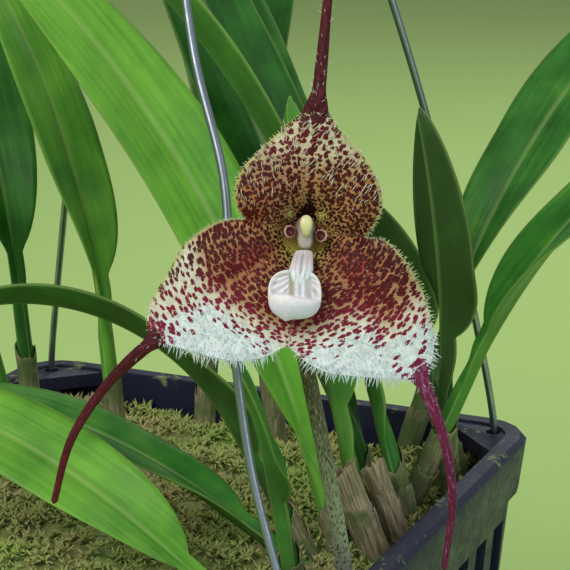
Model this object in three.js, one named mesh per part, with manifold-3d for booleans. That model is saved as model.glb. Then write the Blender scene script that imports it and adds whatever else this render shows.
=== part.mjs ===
// A Dracula orchid in a square hanging basket: one flower on its scape, the clump of
// strap leaves behind it, the moss they grow in, the moulded basket and its wire hanger.
// Millimetres, +Z up, origin at the centre of the basket's underside.

import * as THREE from 'three';
import { mergeVertices } from 'three/addons/utils/BufferGeometryUtils.js';
import Module from 'manifold-3d';

const wasm = await Module();
wasm.setup();

const DEGREE = Math.PI / 180;
const TOUCH = 0.3; // clearance between pieces that touch

// Basket
const RIM_HEIGHT = 80;
const RIM_HALF = 60;
const FOOT_HALF = 52;
const WALL = 2.6;
const FLOOR = 3;
const BAND_HEIGHT = 13;
const BAND_STEP = 1.4;
const SLOT_WIDTH = 6.2;
const SLOT_PITCH = 10.8;
const SLOTS_PER_SIDE = 9;
const SLOT_ROWS = [[8, 34], [39, 63]]; // foot and top of each row, above the underside
const FLOOR_SLOT_LENGTH = 36;
const FLOOR_SLOT_OUT = 26;
const CORNER_RADIUS = 10;
const WEB_LEG = 16;
const WEB_THICK = 3;
const WEB_TOP = RIM_HEIGHT - 0.6;

// Hanger
const WIRE_RADIUS = 0.75;
const WIRE_HOLE = 52.5;
const WIRE_HOLE_RADIUS = 1.6;
const COLLAR_LOW = 284;
const COLLAR_HIGH = 301;
const COLLAR_RADIUS = 3.7;
const HOOK_WIRE = 1.2;
const HOOK_RADIUS = 11;
const HOOK_CENTRE = 327;

// Moss and stems
const MOSS_TOP = 73;
const MOSS_GAP = 0.5;
const STEM_DEPTH = 9;
const HOLE_GAP = 0.6;

// Flower: its own frame has x to the right, y up its face and z out of its face
const FLOWER_PLACE = [57, -56, 146];
const FLOWER_TURN = 24 * DEGREE;
const FLOWER_LIFT = 15 * DEGREE;
const SEPAL_THICK = 0.8;
const CUP_DEPTH = 5.6;
const CUP_REACH = 4.4;

const COLOURS = {
  plastic: [0x23262e, 0.45, 0],
  moss: [0x7f8a45, 0.95, 0],
  wire: [0x9fa6ac, 0.35, 1],
  leaf: [0x3f7a2a, 0.45, 0],
  dry_stem: [0x9a8a6c, 0.8, 0],
  scape: [0x5f6648, 0.6, 0],
  bract: [0x8d8559, 0.7, 0],
  sepal: [0xb58a7a, 0.6, 0],
  petal: [0xc79aa0, 0.5, 0],
  column: [0xcfc9bd, 0.4, 0],
  anther: [0xe6e3a6, 0.35, 0],
  lip: [0xf1f1ee, 0.35, 0],
};

const smooth = (low, high, x) => {
  const t = Math.min(1, Math.max(0, (x - low) / (high - low)));
  return t * t * (3 - 2 * t);
};
const mix = (a, b, t) => a + (b - a) * t;
const vec = (x, y, z) => new THREE.Vector3(x, y, z);

// Closed geometry from a list of vertices and triangles, with its faces pointing out.
function geometryOf(vertices, triangles) {
  const position = new Float32Array(vertices.flatMap((v) => [v.x, v.y, v.z]));
  let volume = 0;
  for (const [a, b, c] of triangles) {
    volume += vertices[a].dot(vertices[b].clone().cross(vertices[c]));
  }
  const out = volume < 0 ? triangles.map(([a, b, c]) => [a, c, b]) : triangles;
  const geometry = new THREE.BufferGeometry();
  geometry.setAttribute('position', new THREE.BufferAttribute(position, 3));
  geometry.setIndex(out.flat());
  return geometry;
}

// A skin through rings of equal point counts, closed by a fan at each end.
function loft(rings) {
  const count = rings[0].length;
  const vertices = rings.flat();
  const triangles = [];
  for (let i = 0; i < rings.length - 1; i++) {
    for (let j = 0; j < count; j++) {
      const a = i * count + j;
      const b = i * count + ((j + 1) % count);
      triangles.push([a, b, b + count], [a, b + count, a + count]);
    }
  }
  const last = (rings.length - 1) * count;
  const centre = (ring) => ring.reduce((s, p) => s.add(p), vec(0, 0, 0)).divideScalar(count);
  vertices.push(centre(rings[0]), centre(rings[rings.length - 1]));
  for (let j = 0; j < count; j++) {
    const k = (j + 1) % count;
    triangles.push([vertices.length - 2, k, j], [vertices.length - 1, last + j, last + k]);
  }
  return geometryOf(vertices, triangles);
}

// Points along a line with frames that turn as little as they can; side starts near hint.
function framesAlong(points, hint) {
  const frames = [];
  let side = hint.clone();
  points.forEach((p, i) => {
    const before = points[Math.max(0, i - 1)];
    const after = points[Math.min(points.length - 1, i + 1)];
    const along = after.clone().sub(before).normalize();
    side = side.clone().addScaledVector(along, -side.dot(along)).normalize();
    frames.push({ p, along, side, up: along.clone().cross(side) });
  });
  return frames;
}

// An oval stem; size(t), for t from 0 to 1 along it, gives its half width along hint and across it.
function ovalStem(points, size, sides, hint) {
  return loft(framesAlong(points, hint).map((f, i) => {
    const [wide, thick] = size(i / (points.length - 1));
    return Array.from({ length: sides }, (_, j) => {
      const turn = (j / sides) * 2 * Math.PI;
      return f.p.clone()
        .addScaledVector(f.side, wide * Math.cos(turn))
        .addScaledVector(f.up, thick * Math.sin(turn));
    });
  }));
}

function roundStem(points, radius, sides) {
  return ovalStem(points, (t) => [radius(t), radius(t)], sides, vec(0.31, 0.95, 0.02));
}

function curvePoints(via, count) {
  return new THREE.CatmullRomCurve3(via.map((p) => vec(...p)), false, 'centripetal').getSpacedPoints(count);
}

// Joining and cutting work on solids; the meshes are made from them afterwards.
function solidOf(geometry) {
  const bare = geometry.clone();
  bare.deleteAttribute('normal');
  bare.deleteAttribute('uv');
  const merged = mergeVertices(bare, 1e-5);
  return new wasm.Manifold(new wasm.Mesh({
    numProp: 3,
    vertProperties: merged.attributes.position.array,
    triVerts: new Uint32Array(merged.index.array),
  }));
}

function meshGeometry(solid) {
  const made = solid.getMesh();
  const geometry = new THREE.BufferGeometry();
  geometry.setAttribute('position', new THREE.BufferAttribute(new Float32Array(made.vertProperties), 3));
  geometry.setIndex(Array.from(made.triVerts));
  return geometry;
}

function block(width, depth, height, x, y, z) {
  return solidOf(new THREE.BoxGeometry(width, depth, height).translate(x, y, z));
}

// Square ring with rounded corners, from half its width, its corner radius and its height,
// with perCorner steps round each corner and perSide along each side.
function squareRing(half, radius, z, perCorner, perSide) {
  const ring = [];
  for (let corner = 0; corner < 4; corner++) {
    const turn = (corner * Math.PI) / 2;
    const local = [];
    for (let i = 0; i <= perCorner; i++) {
      const angle = (i / perCorner) * (Math.PI / 2);
      local.push([half - radius + radius * Math.cos(angle), half - radius + radius * Math.sin(angle)]);
    }
    for (let i = 1; i < perSide; i++) {
      local.push([mix(half - radius, radius - half, i / perSide), half]);
    }
    for (const [x, y] of local) {
      ring.push(vec(x * Math.cos(turn) - y * Math.sin(turn), x * Math.sin(turn) + y * Math.cos(turn), z));
    }
  }
  return ring;
}

// Half the basket's width across the outside of the slatted wall, at height z.
const wallHalf = (z) => mix(FOOT_HALF, RIM_HALF - BAND_STEP, z / RIM_HEIGHT);

// Basket: a moulded tapered box, slotted all round and underneath, with a plain top band,
// a rounded lip and a web with a wire hole in each corner.
function makeBasket() {
  const bandLow = RIM_HEIGHT - BAND_HEIGHT;
  const outer = solidOf(loft([
    squareRing(wallHalf(0), CORNER_RADIUS - 1, 0, 4, 1),
    squareRing(wallHalf(bandLow), CORNER_RADIUS, bandLow, 4, 1),
    squareRing(wallHalf(bandLow) + BAND_STEP, CORNER_RADIUS, bandLow + 1.2, 4, 1),
    squareRing(RIM_HALF, CORNER_RADIUS, RIM_HEIGHT - 1.4, 4, 1),
    squareRing(RIM_HALF - 0.9, CORNER_RADIUS, RIM_HEIGHT, 4, 1),
  ]));
  const innerHalf = (z) => wallHalf(z) - WALL;
  const inner = solidOf(loft([
    squareRing(innerHalf(FLOOR), CORNER_RADIUS - WALL, FLOOR, 4, 1),
    squareRing(innerHalf(RIM_HEIGHT + 1), CORNER_RADIUS - WALL, RIM_HEIGHT + 1, 4, 1),
  ]));
  let basket = outer.subtract(inner);
  const reach = innerHalf(RIM_HEIGHT - 2) + 0.4;
  for (const [sx, sy] of [[1, 1], [-1, 1], [-1, -1], [1, -1]]) {
    const corner = new THREE.Shape([
      new THREE.Vector2(sx * reach, sy * reach),
      new THREE.Vector2(sx * (reach - WEB_LEG), sy * reach),
      new THREE.Vector2(sx * reach, sy * (reach - WEB_LEG)),
    ]);
    const web = solidOf(new THREE.ExtrudeGeometry(corner, { depth: WEB_THICK, bevelEnabled: false })
      .translate(0, 0, WEB_TOP - WEB_THICK));
    basket = basket.add(web.intersect(outer));
    const hole = new THREE.CylinderGeometry(WIRE_HOLE_RADIUS, WIRE_HOLE_RADIUS, 4 * WEB_THICK, 10);
    hole.rotateX(Math.PI / 2).translate(sx * WIRE_HOLE, sy * WIRE_HOLE, WEB_TOP - WEB_THICK / 2);
    basket = basket.subtract(solidOf(hole));
  }
  const across = 3 * RIM_HALF;
  for (const [low, high] of SLOT_ROWS) {
    for (let i = 0; i < SLOTS_PER_SIDE; i++) {
      const at = (i - (SLOTS_PER_SIDE - 1) / 2) * SLOT_PITCH;
      const middle = (low + high) / 2;
      basket = basket.subtract(block(across, SLOT_WIDTH, high - low, 0, at, middle));
      basket = basket.subtract(block(SLOT_WIDTH, across, high - low, at, 0, middle));
    }
  }
  for (const side of [-1, 1]) {
    for (const row of [-4, -3, -2, -1, 1, 2, 3, 4]) {
      const slot = block(FLOOR_SLOT_LENGTH, SLOT_WIDTH, 3 * FLOOR, side * FLOOR_SLOT_OUT, row * SLOT_PITCH, 0);
      basket = basket.subtract(slot);
    }
  }
  return meshGeometry(basket);
}

// Height of the moss: a low mound with soft lumps.
function mossHeight(x, y) {
  const away = Math.max(Math.abs(x), Math.abs(y)) / RIM_HALF;
  const lumps = Math.sin(x * 0.31 + 1.3) * Math.cos(y * 0.27 + 0.4) + 0.6 * Math.sin(x * 0.17 - y * 0.23);
  return MOSS_TOP + 2.2 * (1 - away * away) + 1.1 * lumps;
}

// Moss: fills the basket to just under the rim; each stem stands in a plain hole.
function makeMoss(stems) {
  const halfAt = (z) => wallHalf(z) - WALL - MOSS_GAP;
  const low = FLOOR + TOUCH;
  const radius = CORNER_RADIUS - WALL - 0.5;
  const shoulder = MOSS_TOP - 5;
  const rings = [
    squareRing(halfAt(low), radius, low, 2, 6),
    squareRing(halfAt(shoulder / 2), radius, shoulder / 2, 2, 6),
    squareRing(halfAt(shoulder), radius, shoulder, 2, 6),
  ];
  for (const share of [0.95, 0.8, 0.63, 0.46, 0.3, 0.14]) {
    const flat = squareRing(halfAt(shoulder) * share, radius * share, 0, 2, 6);
    const sunk = share > 0.9 ? 2.2 : 0; // the outermost ring turns down to the wall
    rings.push(flat.map((p) => vec(p.x, p.y, mossHeight(p.x, p.y) - sunk)));
  }
  let moss = solidOf(loft(rings));
  for (const { foot, along, radius: thick } of stems) {
    const deep = STEM_DEPTH + TOUCH;
    const hole = new THREE.CylinderGeometry(thick + HOLE_GAP, thick + HOLE_GAP, deep + 14, 8);
    hole.translate(0, (deep + 14) / 2 - TOUCH, 0);
    hole.applyQuaternion(new THREE.Quaternion().setFromUnitVectors(vec(0, 1, 0), along));
    moss = moss.subtract(solidOf(hole.translate(foot.x, foot.y, foot.z)));
  }
  return meshGeometry(moss);
}

// Hanger wires: turned in under the corner web, up through its hole, then to the collar.
// Each bend is [share of the way up, sag along the basket's edge, sag outwards], in mm.
const WIRES = {
  front_right: {
    corner: [1, -1],
    bends: [[0.12, -2.6, -1.0], [0.25, -3.3, 1.1], [0.35, -2.1, 2.4], [0.46, -3.9, 0.4], [0.72, -2.6, 0]],
  },
  front_left: { corner: [-1, -1], bends: [[0.25, 1.2, 3.0], [0.5, 2.0, 5.0], [0.75, 1.4, 3.4]] },
  back_left: { corner: [-1, 1], bends: [[0.25, -1.8, 5.0], [0.5, -2.6, 8.0], [0.75, -1.6, 5.0]] },
  back_right: { corner: [1, 1], bends: [[0.25, 1.0, 7.0], [0.5, 1.6, 9.5], [0.75, 1.2, 6.0]] },
};
const WIRE_FOOT = 4.5;
const WIRE_STEPS = 20;

function makeWire({ corner: [sx, sy], bends }) {
  const out = vec(sx, sy, 0).normalize();
  const aside = vec(-sy, sx, 0).normalize();
  const hole = vec(sx * WIRE_HOLE, sy * WIRE_HOLE, 0);
  const under = WEB_TOP - WEB_THICK - TOUCH - WIRE_RADIUS;
  const foot = [
    hole.clone().addScaledVector(out, -WIRE_FOOT).setZ(under - 0.1),
    hole.clone().addScaledVector(out, -1.1).setZ(under - 0.1),
    hole.clone().addScaledVector(out, -0.3).setZ(under + 0.3),
    hole.clone().setZ(WEB_TOP - WEB_THICK + 0.1),
  ];
  const low = hole.clone().setZ(WEB_TOP + 2);
  const top = out.clone().multiplyScalar(2.4).setZ(COLLAR_LOW - 12);
  const via = bends.map(([share, along, away]) => low.clone().lerp(top, share)
    .addScaledVector(aside, along).addScaledVector(out, away));
  via.unshift(low);
  via.push(top, out.clone().multiplyScalar(2.3).setZ(COLLAR_LOW - TOUCH));
  const rise = new THREE.CatmullRomCurve3(via, false, 'centripetal').getSpacedPoints(WIRE_STEPS);
  return roundStem([...foot, ...rise], () => WIRE_RADIUS, 6);
}

// Hook: the wound collar that grips the wires, a shank and an open round hook.
function makeHook() {
  const profile = [new THREE.Vector2(0, COLLAR_LOW)];
  const turns = 5;
  for (let i = 0; i < turns; i++) {
    const z = mix(COLLAR_LOW, COLLAR_HIGH, i / turns);
    const rise = (COLLAR_HIGH - COLLAR_LOW) / turns;
    profile.push(new THREE.Vector2(COLLAR_RADIUS - 0.7, z), new THREE.Vector2(COLLAR_RADIUS, z + rise / 2));
  }
  profile.push(new THREE.Vector2(COLLAR_RADIUS - 0.7, COLLAR_HIGH), new THREE.Vector2(0, COLLAR_HIGH));
  const collar = new THREE.LatheGeometry(profile, 10).rotateX(Math.PI / 2);
  const via = [[0, 0, COLLAR_HIGH - 6], [0, 0, COLLAR_HIGH + 4], [0, 0, HOOK_CENTRE - HOOK_RADIUS - 4]];
  for (let turn = -60; turn <= 190; turn += 25) {
    const angle = turn * DEGREE;
    via.push([HOOK_RADIUS * Math.cos(angle), 0, HOOK_CENTRE + HOOK_RADIUS * Math.sin(angle)]);
  }
  const rod = roundStem(curvePoints(via, 30), () => HOOK_WIRE, 8);
  return meshGeometry(solidOf(collar).add(solidOf(rod)));
}

// Leafy stems. Each grows from its foot in the moss, leans towards its heading and arches over.
// heading, lean (at the foot and at the tip) and roll (at the foot and at the tip) are in degrees;
// seen from the foot along the leaf, a positive roll turns it anticlockwise.
// base is the length of round stem above the moss, before the leaf opens into its blade.
const LEAVES = {
  leaf_01: { at: [42, -6], heading: 195, lean: [18, 55], roll: [50, 40], base: 14, length: 148, width: 18 },
  leaf_02: { at: [41, 15], heading: 175, lean: [17, 38], roll: [36, 30], base: 18, length: 146, width: 20 },
  leaf_03: { at: [49, 12], heading: 192, lean: [15, 60], roll: [-20, -34], base: 20, length: 156, width: 17 },
  leaf_04: { at: [50.5, 30], heading: 204, lean: [2, 12], roll: [-30, -40], base: 22, length: 76, width: 16 },
  leaf_05: { at: [48.5, 43], heading: 204, lean: [18, 26], roll: [-50, -60], base: 22, length: 64, width: 15 },
  leaf_06: { at: [38.6, -15], heading: 199, lean: [53, 96], roll: [14, 6], base: 10, length: 94, width: 12 },
  leaf_07: { at: [38, -40], heading: 184, lean: [53, 94], roll: [36, 30], base: 10, length: 96, width: 16 },
  leaf_08: { at: [43.6, 4.4], heading: 208, lean: [14, 2], roll: [-50, -50], base: 16, length: 84, width: 14 },
  leaf_09: { at: [36.6, -9.8], heading: 200, lean: [28, 122], roll: [-14, -26], base: 12, length: 94, width: 17 },
  leaf_10: { at: [28, 36], heading: 172, lean: [12, 50], roll: [10, 8], base: 30, length: 150, width: 20 },
  leaf_11: { at: [46, 22], heading: 8, lean: [22, 78], roll: [-24, -20], base: 30, length: 140, width: 18 },
  leaf_12: { at: [-40, 24], heading: 150, lean: [10, 58], roll: [6, 10], base: 30, length: 150, width: 19 },
  leaf_13: { at: [-32, 6], heading: 188, lean: [14, 72], roll: [16, 14], base: 30, length: 136, width: 18 },
  leaf_14: { at: [-38, -22], heading: 215, lean: [14, 66], roll: [-8, -4], base: 30, length: 98, width: 15 },
  leaf_15: { at: [35, 48], heading: 62, lean: [24, 74], roll: [-6, -10], base: 30, length: 142, width: 18 },
  leaf_16: { at: [9, 40], heading: 146, lean: [10, 46], roll: [8, 12], base: 30, length: 132, width: 17 },
  leaf_17: { at: [-14, 14], heading: 176, lean: [6, 40], roll: [10, 16], base: 30, length: 116, width: 15 },
  leaf_18: { at: [-10, 44], heading: 96, lean: [14, 62], roll: [-6, -4], base: 30, length: 138, width: 18 },
  leaf_19: { at: [-46, -5], heading: 174, lean: [20, 82], roll: [4, 8], base: 30, length: 116, width: 16 },
  leaf_20: { at: [42.6, -27], heading: 232, lean: [12, 34], roll: [20, 24], base: 8, length: 50, width: 13 },
};
const LEAF_STRAIGHT = 34; // from the buried foot to where the leaf starts to bend
const SHEATH_RADIUS = 2.3;
const PETIOLE_HALF = 1.7;
const LEAF_THICK = 1.0;
const LEAF_STEPS = 18;

// The line of a leaf: its lean grows along its length, so it arches towards its heading.
function leafLine(leaf) {
  const steps = LEAF_STEPS;
  const [x, y] = leaf.at;
  const heading = leaf.heading * DEGREE;
  const start = leaf.lean[0] * DEGREE;
  const along = vec(Math.sin(start) * Math.cos(heading), Math.sin(start) * Math.sin(heading), Math.cos(start));
  const foot = vec(x, y, mossHeight(x, y)).addScaledVector(along, -STEM_DEPTH / along.z);
  const points = [foot.clone()];
  const total = leaf.length + STEM_DEPTH;
  for (let i = 1; i <= steps; i++) {
    const t = Math.max(0, ((i - 0.5) / steps) * total - LEAF_STRAIGHT) / (total - LEAF_STRAIGHT);
    const lean = mix(leaf.lean[0], leaf.lean[1], Math.pow(t, 1.15)) * DEGREE;
    const step = vec(Math.sin(lean) * Math.cos(heading), Math.sin(lean) * Math.sin(heading), Math.cos(lean));
    points.push(points[i - 1].clone().addScaledVector(step, total / steps));
  }
  return { points, foot, along };
}

// Half width of the blade from its narrow foot (u = 0) to its tip (u = 1).
function bladeHalf(u, width) {
  const swell = Math.sin(Math.PI * Math.pow(Math.min(1, u), 0.78));
  return Math.max(0.7, (width / 2) * Math.pow(Math.max(0, swell), 0.72));
}

// A leafy stem: round in its dry sheath, a narrow channelled stalk, then a keeled blade
// whose two halves rise a little from the midrib.
function makeLeaf(leaf) {
  const { points } = leafLine(leaf);
  const heading = leaf.heading * DEGREE;
  const across = vec(-Math.sin(heading), Math.cos(heading), 0);
  const total = leaf.length + STEM_DEPTH;
  const rings = framesAlong(points, across).map((f, i) => {
    const t = i / LEAF_STEPS;
    const reach = t * total - STEM_DEPTH;
    const flat = smooth(leaf.base - 4, leaf.base + 6, reach);
    const u = (reach - leaf.base - 8) / (leaf.length - leaf.base - 8);
    const half = u > 0 ? Math.max(bladeHalf(u, leaf.width), mix(PETIOLE_HALF, 0.7, u)) : PETIOLE_HALF;
    const round = mix(SHEATH_RADIUS, SHEATH_RADIUS * 0.85, smooth(0, leaf.base, reach));
    const keel = half * mix(0.75, 0.2, smooth(0, 0.35, u));
    const thick = mix(1.3, LEAF_THICK, smooth(0, 0.3, u));
    const circle = [[-0.87, 0.5], [0, 1], [0.87, 0.5], [0.87, -0.5], [0, -1], [-0.87, -0.5]];
    const blade = [[-half, keel + thick], [0, thick], [half, keel + thick], [half, keel], [0, 0], [-half, keel]];
    const roll = -mix(leaf.roll[0], leaf.roll[1], t) * DEGREE * flat;
    return circle.map(([cx, cy], k) => {
      const x = mix(cx * round, blade[k][0], flat);
      const y = mix(cy * round, blade[k][1] - thick / 2, flat);
      const rx = x * Math.cos(roll) - y * Math.sin(roll);
      const ry = x * Math.sin(roll) + y * Math.cos(roll);
      return f.p.clone().addScaledVector(f.side, rx).addScaledVector(f.up, ry);
    });
  });
  return loft(rings);
}

// Old stems that have lost their leaf, each still in its dry open sheath.
const STUBS = {
  old_stem_1: { at: [48.6, -4], heading: 200, lean: 21, length: 18, radius: 2.5 },
  old_stem_2: { at: [49.5, 4.4], heading: 200, lean: 18, length: 15, radius: 2.1 },
};

function stubLine({ at: [x, y], heading, lean }) {
  const tilt = lean * DEGREE;
  const turn = heading * DEGREE;
  const along = vec(Math.sin(tilt) * Math.cos(turn), Math.sin(tilt) * Math.sin(turn), Math.cos(tilt));
  const foot = vec(x, y, mossHeight(x, y)).addScaledVector(along, -STEM_DEPTH);
  return { foot, along };
}

function makeStub(stub) {
  const { foot, along } = stubLine(stub);
  const whole = stub.length + STEM_DEPTH;
  const r = stub.radius;
  const profile = [[0, 0], [r * 0.8, 0], [r * 0.86, STEM_DEPTH], [r * 0.98, whole * 0.7], [r, whole],
    [r - 0.9, whole + 0.1], [r - 1.2, whole - 4], [0, whole - 5]];
  const turned = new THREE.LatheGeometry(profile.map(([a, b]) => new THREE.Vector2(a, b)), 9);
  turned.applyQuaternion(new THREE.Quaternion().setFromUnitVectors(vec(0, 1, 0), along));
  return turned.translate(foot.x, foot.y, foot.z);
}

// Flower frame
const flower = new THREE.Group();
flower.position.set(...FLOWER_PLACE);
flower.rotation.set(Math.PI / 2 - FLOWER_LIFT, 0, FLOWER_TURN, 'ZYX');
flower.updateMatrixWorld(true);

// Scape: rises out of the moss behind the rim and leans forward, up to the flower's back.
const SCAPE_FOOT = [50.8, -23.2];
const SCAPE_BENDS = [[52.0, -27.6, 81], [53.7, -35.8, 94.4], [54.5, -43.4, 109]];
const SCAPE_RADIUS = 1.25;
const SCAPE_FOOT_RADIUS = 1.5;
const JOINT = vec(-1.6, -9.5, -12.6);
const JOINT_ALONG = vec(-0.14, 0.88, 0.42).normalize();

function scapeLine() {
  const [x, y] = SCAPE_FOOT;
  const ground = vec(x, y, mossHeight(x, y));
  const bends = SCAPE_BENDS.map((p) => vec(...p));
  const along = bends[0].clone().sub(ground).normalize();
  const foot = ground.clone().addScaledVector(along, -STEM_DEPTH);
  const before = JOINT.clone().addScaledVector(JOINT_ALONG, -5).applyMatrix4(flower.matrixWorld);
  const top = JOINT.clone().applyMatrix4(flower.matrixWorld);
  const curve = new THREE.CatmullRomCurve3([foot, ...bends, before, top], false, 'centripetal');
  return { foot, along, points: curve.getSpacedPoints(16) };
}

// Stalk and ovary: from the scape's end up behind the flower, then forward to the cup.
const OVARY_BENDS = [[-1.9, -6.4, -11.4], [-1.2, -3.2, -10.4], [-0.3, -0.9, -8.9], [0, 0, -6.9]];
const STALK_RADIUS = 0.8;
const OVARY_RADIUS = 1.35;

function makeOvary() {
  const start = JOINT.clone().addScaledVector(JOINT_ALONG, TOUCH + 0.1);
  const points = curvePoints([start.toArray(), ...OVARY_BENDS], 12);
  const radius = (t) => mix(STALK_RADIUS, OVARY_RADIUS, smooth(0.35, 0.75, t)) - 0.3 * smooth(0.8, 1, t);
  return roundStem(points, radius, 8);
}

// Bract: a short papery funnel round the foot of the stalk.
const BRACT_PROFILE = [[1.35, 0], [1.85, 1.8], [2.2, 3.6], [1.8, 3.6], [1.45, 1.8], [1.25, 0], [1.35, 0]];

function makeBract() {
  const turned = new THREE.LatheGeometry(BRACT_PROFILE.map(([a, b]) => new THREE.Vector2(a, b)), 8);
  turned.applyQuaternion(new THREE.Quaternion().setFromUnitVectors(vec(0, 1, 0), JOINT_ALONG));
  const seat = JOINT.clone().addScaledVector(JOINT_ALONG, TOUCH + 0.1);
  return turned.translate(seat.x, seat.y, seat.z);
}

// Outline of the three joined sepals in the flower frame, from the upper sepal's tip round by the left.
const OUTLINE = [
  [1.8, 19.8], [0.2, 18.2], [-1.7, 16.7], [-4.6, 14.2], [-7.4, 11.6], [-9.5, 9.4], [-10.5, 6.6], [-10.4, 4.0],
  [-9.3, 2.0], [-10.4, 2.0], [-13.0, 1.6], [-15.8, 0.1], [-18.4, -2.3], [-20.2, -5.5], [-21.9, -8.3],
  [-23.3, -11.2], [-23.5, -14.2], [-22.7, -15.9], [-21.0, -16.7], [-17.8, -17.5], [-13.3, -18.8],
  [-9.2, -19.2], [-5.4, -18.4], [-2.7, -17.1], [-0.9, -18.6], [2.6, -20.7], [7.6, -21.5], [13.0, -21.9],
  [15.8, -22.0], [17.6, -21.6], [18.9, -19.6], [19.3, -16.6], [18.7, -12.2], [17.2, -8.0], [14.9, -4.1],
  [12.2, -1.3], [9.4, -0.8], [10.2, 0.5], [11.5, 3.2], [11.4, 6.4], [10.1, 9.3], [7.9, 12.3], [5.2, 15.2],
  [3.4, 18.0],
];
const SEPAL_STEPS = 88;
const MIDRIBS = [84, 215, 308]; // directions of the three sepals, in degrees
const SEAMS = [168, 262, 357]; // directions of the three seams between them

const nearness = (angle, centre, spread) => {
  const off = ((angle - centre + 540) % 360) - 180;
  return Math.exp(-(off * off) / (2 * spread * spread));
};

// Height of the face: a deep cup, raised fields either side of each midrib, sunk seams,
// margins curled back at the top and sides and forward along the lower edge.
function faceHeight(x, y, share) {
  const r = Math.hypot(x, y);
  const angle = (Math.atan2(y, x) / DEGREE + 360) % 360;
  const cup = -CUP_DEPTH * Math.exp(-Math.pow(r / CUP_REACH, 2.4));
  const outer = smooth(3, 9, r);
  let shape = 0.5 * smooth(4, 12, r);
  for (const seam of SEAMS) shape -= 1.3 * nearness(angle, seam, 9) * outer * smooth(0.25, 0.8, share);
  for (const rib of MIDRIBS) shape -= 0.45 * nearness(angle, rib, 5) * outer * (1 - smooth(0.5, 0.85, share));
  const low = nearness(angle, 240, 26) + nearness(angle, 288, 24);
  const sides = nearness(angle, 185, 24) + nearness(angle, 338, 24);
  const shoulders = nearness(angle, 40, 34) + nearness(angle, 135, 30);
  const high = sides + shoulders;
  const curl = Math.pow(share, 5);
  const hood = 1.6 * smooth(4, 20, y);
  return cup + shape + hood + curl * (1.5 * Math.min(1, low) - 1.9 * Math.min(1, high));
}

const outlineCurve = new THREE.CatmullRomCurve3(OUTLINE.map(([x, y]) => vec(x, y, 0)), true, 'centripetal');

// Tails: from each sepal's tip outwards, flattened at first, then round and slender.
// Points are in the flower frame; drop is how far the end hangs behind the face.
const TAILS = {
  upper: { drop: 5, via: [[1.3, 16.4], [1.9, 19.6], [2.6, 26], [3.4, 34.4], [4.6, 46], [7, 57]] },
  left: {
    drop: 4,
    via: [[-20.4, -14.6], [-22.8, -16.4], [-26.6, -19.6], [-31, -24.4], [-35.4, -31.6], [-38, -41]],
  },
  right: { drop: 3, via: [[16, -19.4], [17.2, -21.8], [18.9, -25.6], [21, -31.6], [22.2, -40], [21, -51]] },
};
const TAIL_FOOT = [1.9, 0.55]; // half width and half thickness where a tail leaves its blade
const TAIL_START = 1.0;
const TAIL_END = 0.5;

function makeTail({ via, drop }) {
  const points = via.map(([x, y], i) => {
    const behind = -mix(0.1, drop, (i - 1) / (via.length - 2));
    return [x, y, i < 2 ? faceHeight(x, y, 0.9) - SEPAL_THICK / 2 : behind];
  });
  const line = curvePoints(points, 18);
  const start = line[1].clone().sub(line[0]);
  const size = (t) => {
    const round = mix(TAIL_START, 0.7, smooth(0.1, 0.5, t)) - (0.7 - TAIL_END) * smooth(0.5, 1, t);
    return TAIL_FOOT.map((foot) => mix(foot, round, smooth(0, 0.12, t)));
  };
  return ovalStem(line, size, 6, vec(-start.y, start.x, 0).normalize());
}

// Closes a front and a back skin, each a centre point and rings of count points, round their edge.
function twoSkins(front, back, rings, count) {
  const offset = front.length;
  const triangles = [];
  const index = (ring, j) => 1 + ring * count + (j % count);
  const both = (a, b, c) => triangles.push([a, b, c], [offset + a, offset + c, offset + b]);
  for (let j = 0; j < count; j++) {
    both(0, index(0, j), index(0, j + 1));
    for (let ring = 0; ring < rings - 1; ring++) {
      both(index(ring, j), index(ring + 1, j), index(ring + 1, j + 1));
      both(index(ring, j), index(ring + 1, j + 1), index(ring, j + 1));
    }
    const a = index(rings - 1, j);
    const b = index(rings - 1, j + 1);
    triangles.push([b, a, offset + a], [b, offset + a, offset + b]);
  }
  return geometryOf([...front, ...back], triangles);
}

// The joined sepals: round rings in the cup, then rings that widen to the outline.
const THROAT = 5.4;
const THROAT_RINGS = 3;
const BLADE_RINGS = 6;

function makeSepals() {
  const rim = outlineCurve.getSpacedPoints(SEPAL_STEPS).slice(0, SEPAL_STEPS);
  const front = [vec(0, 0, faceHeight(0, 0, 0))];
  const normals = [vec(0, 0, 1)];
  for (let ring = 1; ring <= THROAT_RINGS + BLADE_RINGS; ring++) {
    for (const p of rim) {
      const far = Math.hypot(p.x, p.y);
      const inThroat = (THROAT * ring) / THROAT_RINGS;
      const r = ring <= THROAT_RINGS ? inThroat : mix(THROAT, far, (ring - THROAT_RINGS) / BLADE_RINGS);
      const share = r / far;
      const x = p.x * share;
      const y = p.y * share;
      const step = 0.05;
      const dx = (faceHeight(x + step, y, share) - faceHeight(x - step, y, share)) / (2 * step);
      const dy = (faceHeight(x, y + step, share) - faceHeight(x, y - step, share)) / (2 * step);
      front.push(vec(x, y, faceHeight(x, y, share)));
      normals.push(vec(-dx, -dy, 1).normalize());
    }
  }
  const back = front.map((p, i) => p.clone().addScaledVector(normals[i], -SEPAL_THICK));
  let sepals = solidOf(twoSkins(front, back, THROAT_RINGS + BLADE_RINGS, SEPAL_STEPS));
  for (const tail of Object.values(TAILS)) sepals = sepals.add(solidOf(makeTail(tail)));
  return meshGeometry(sepals);
}

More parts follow.
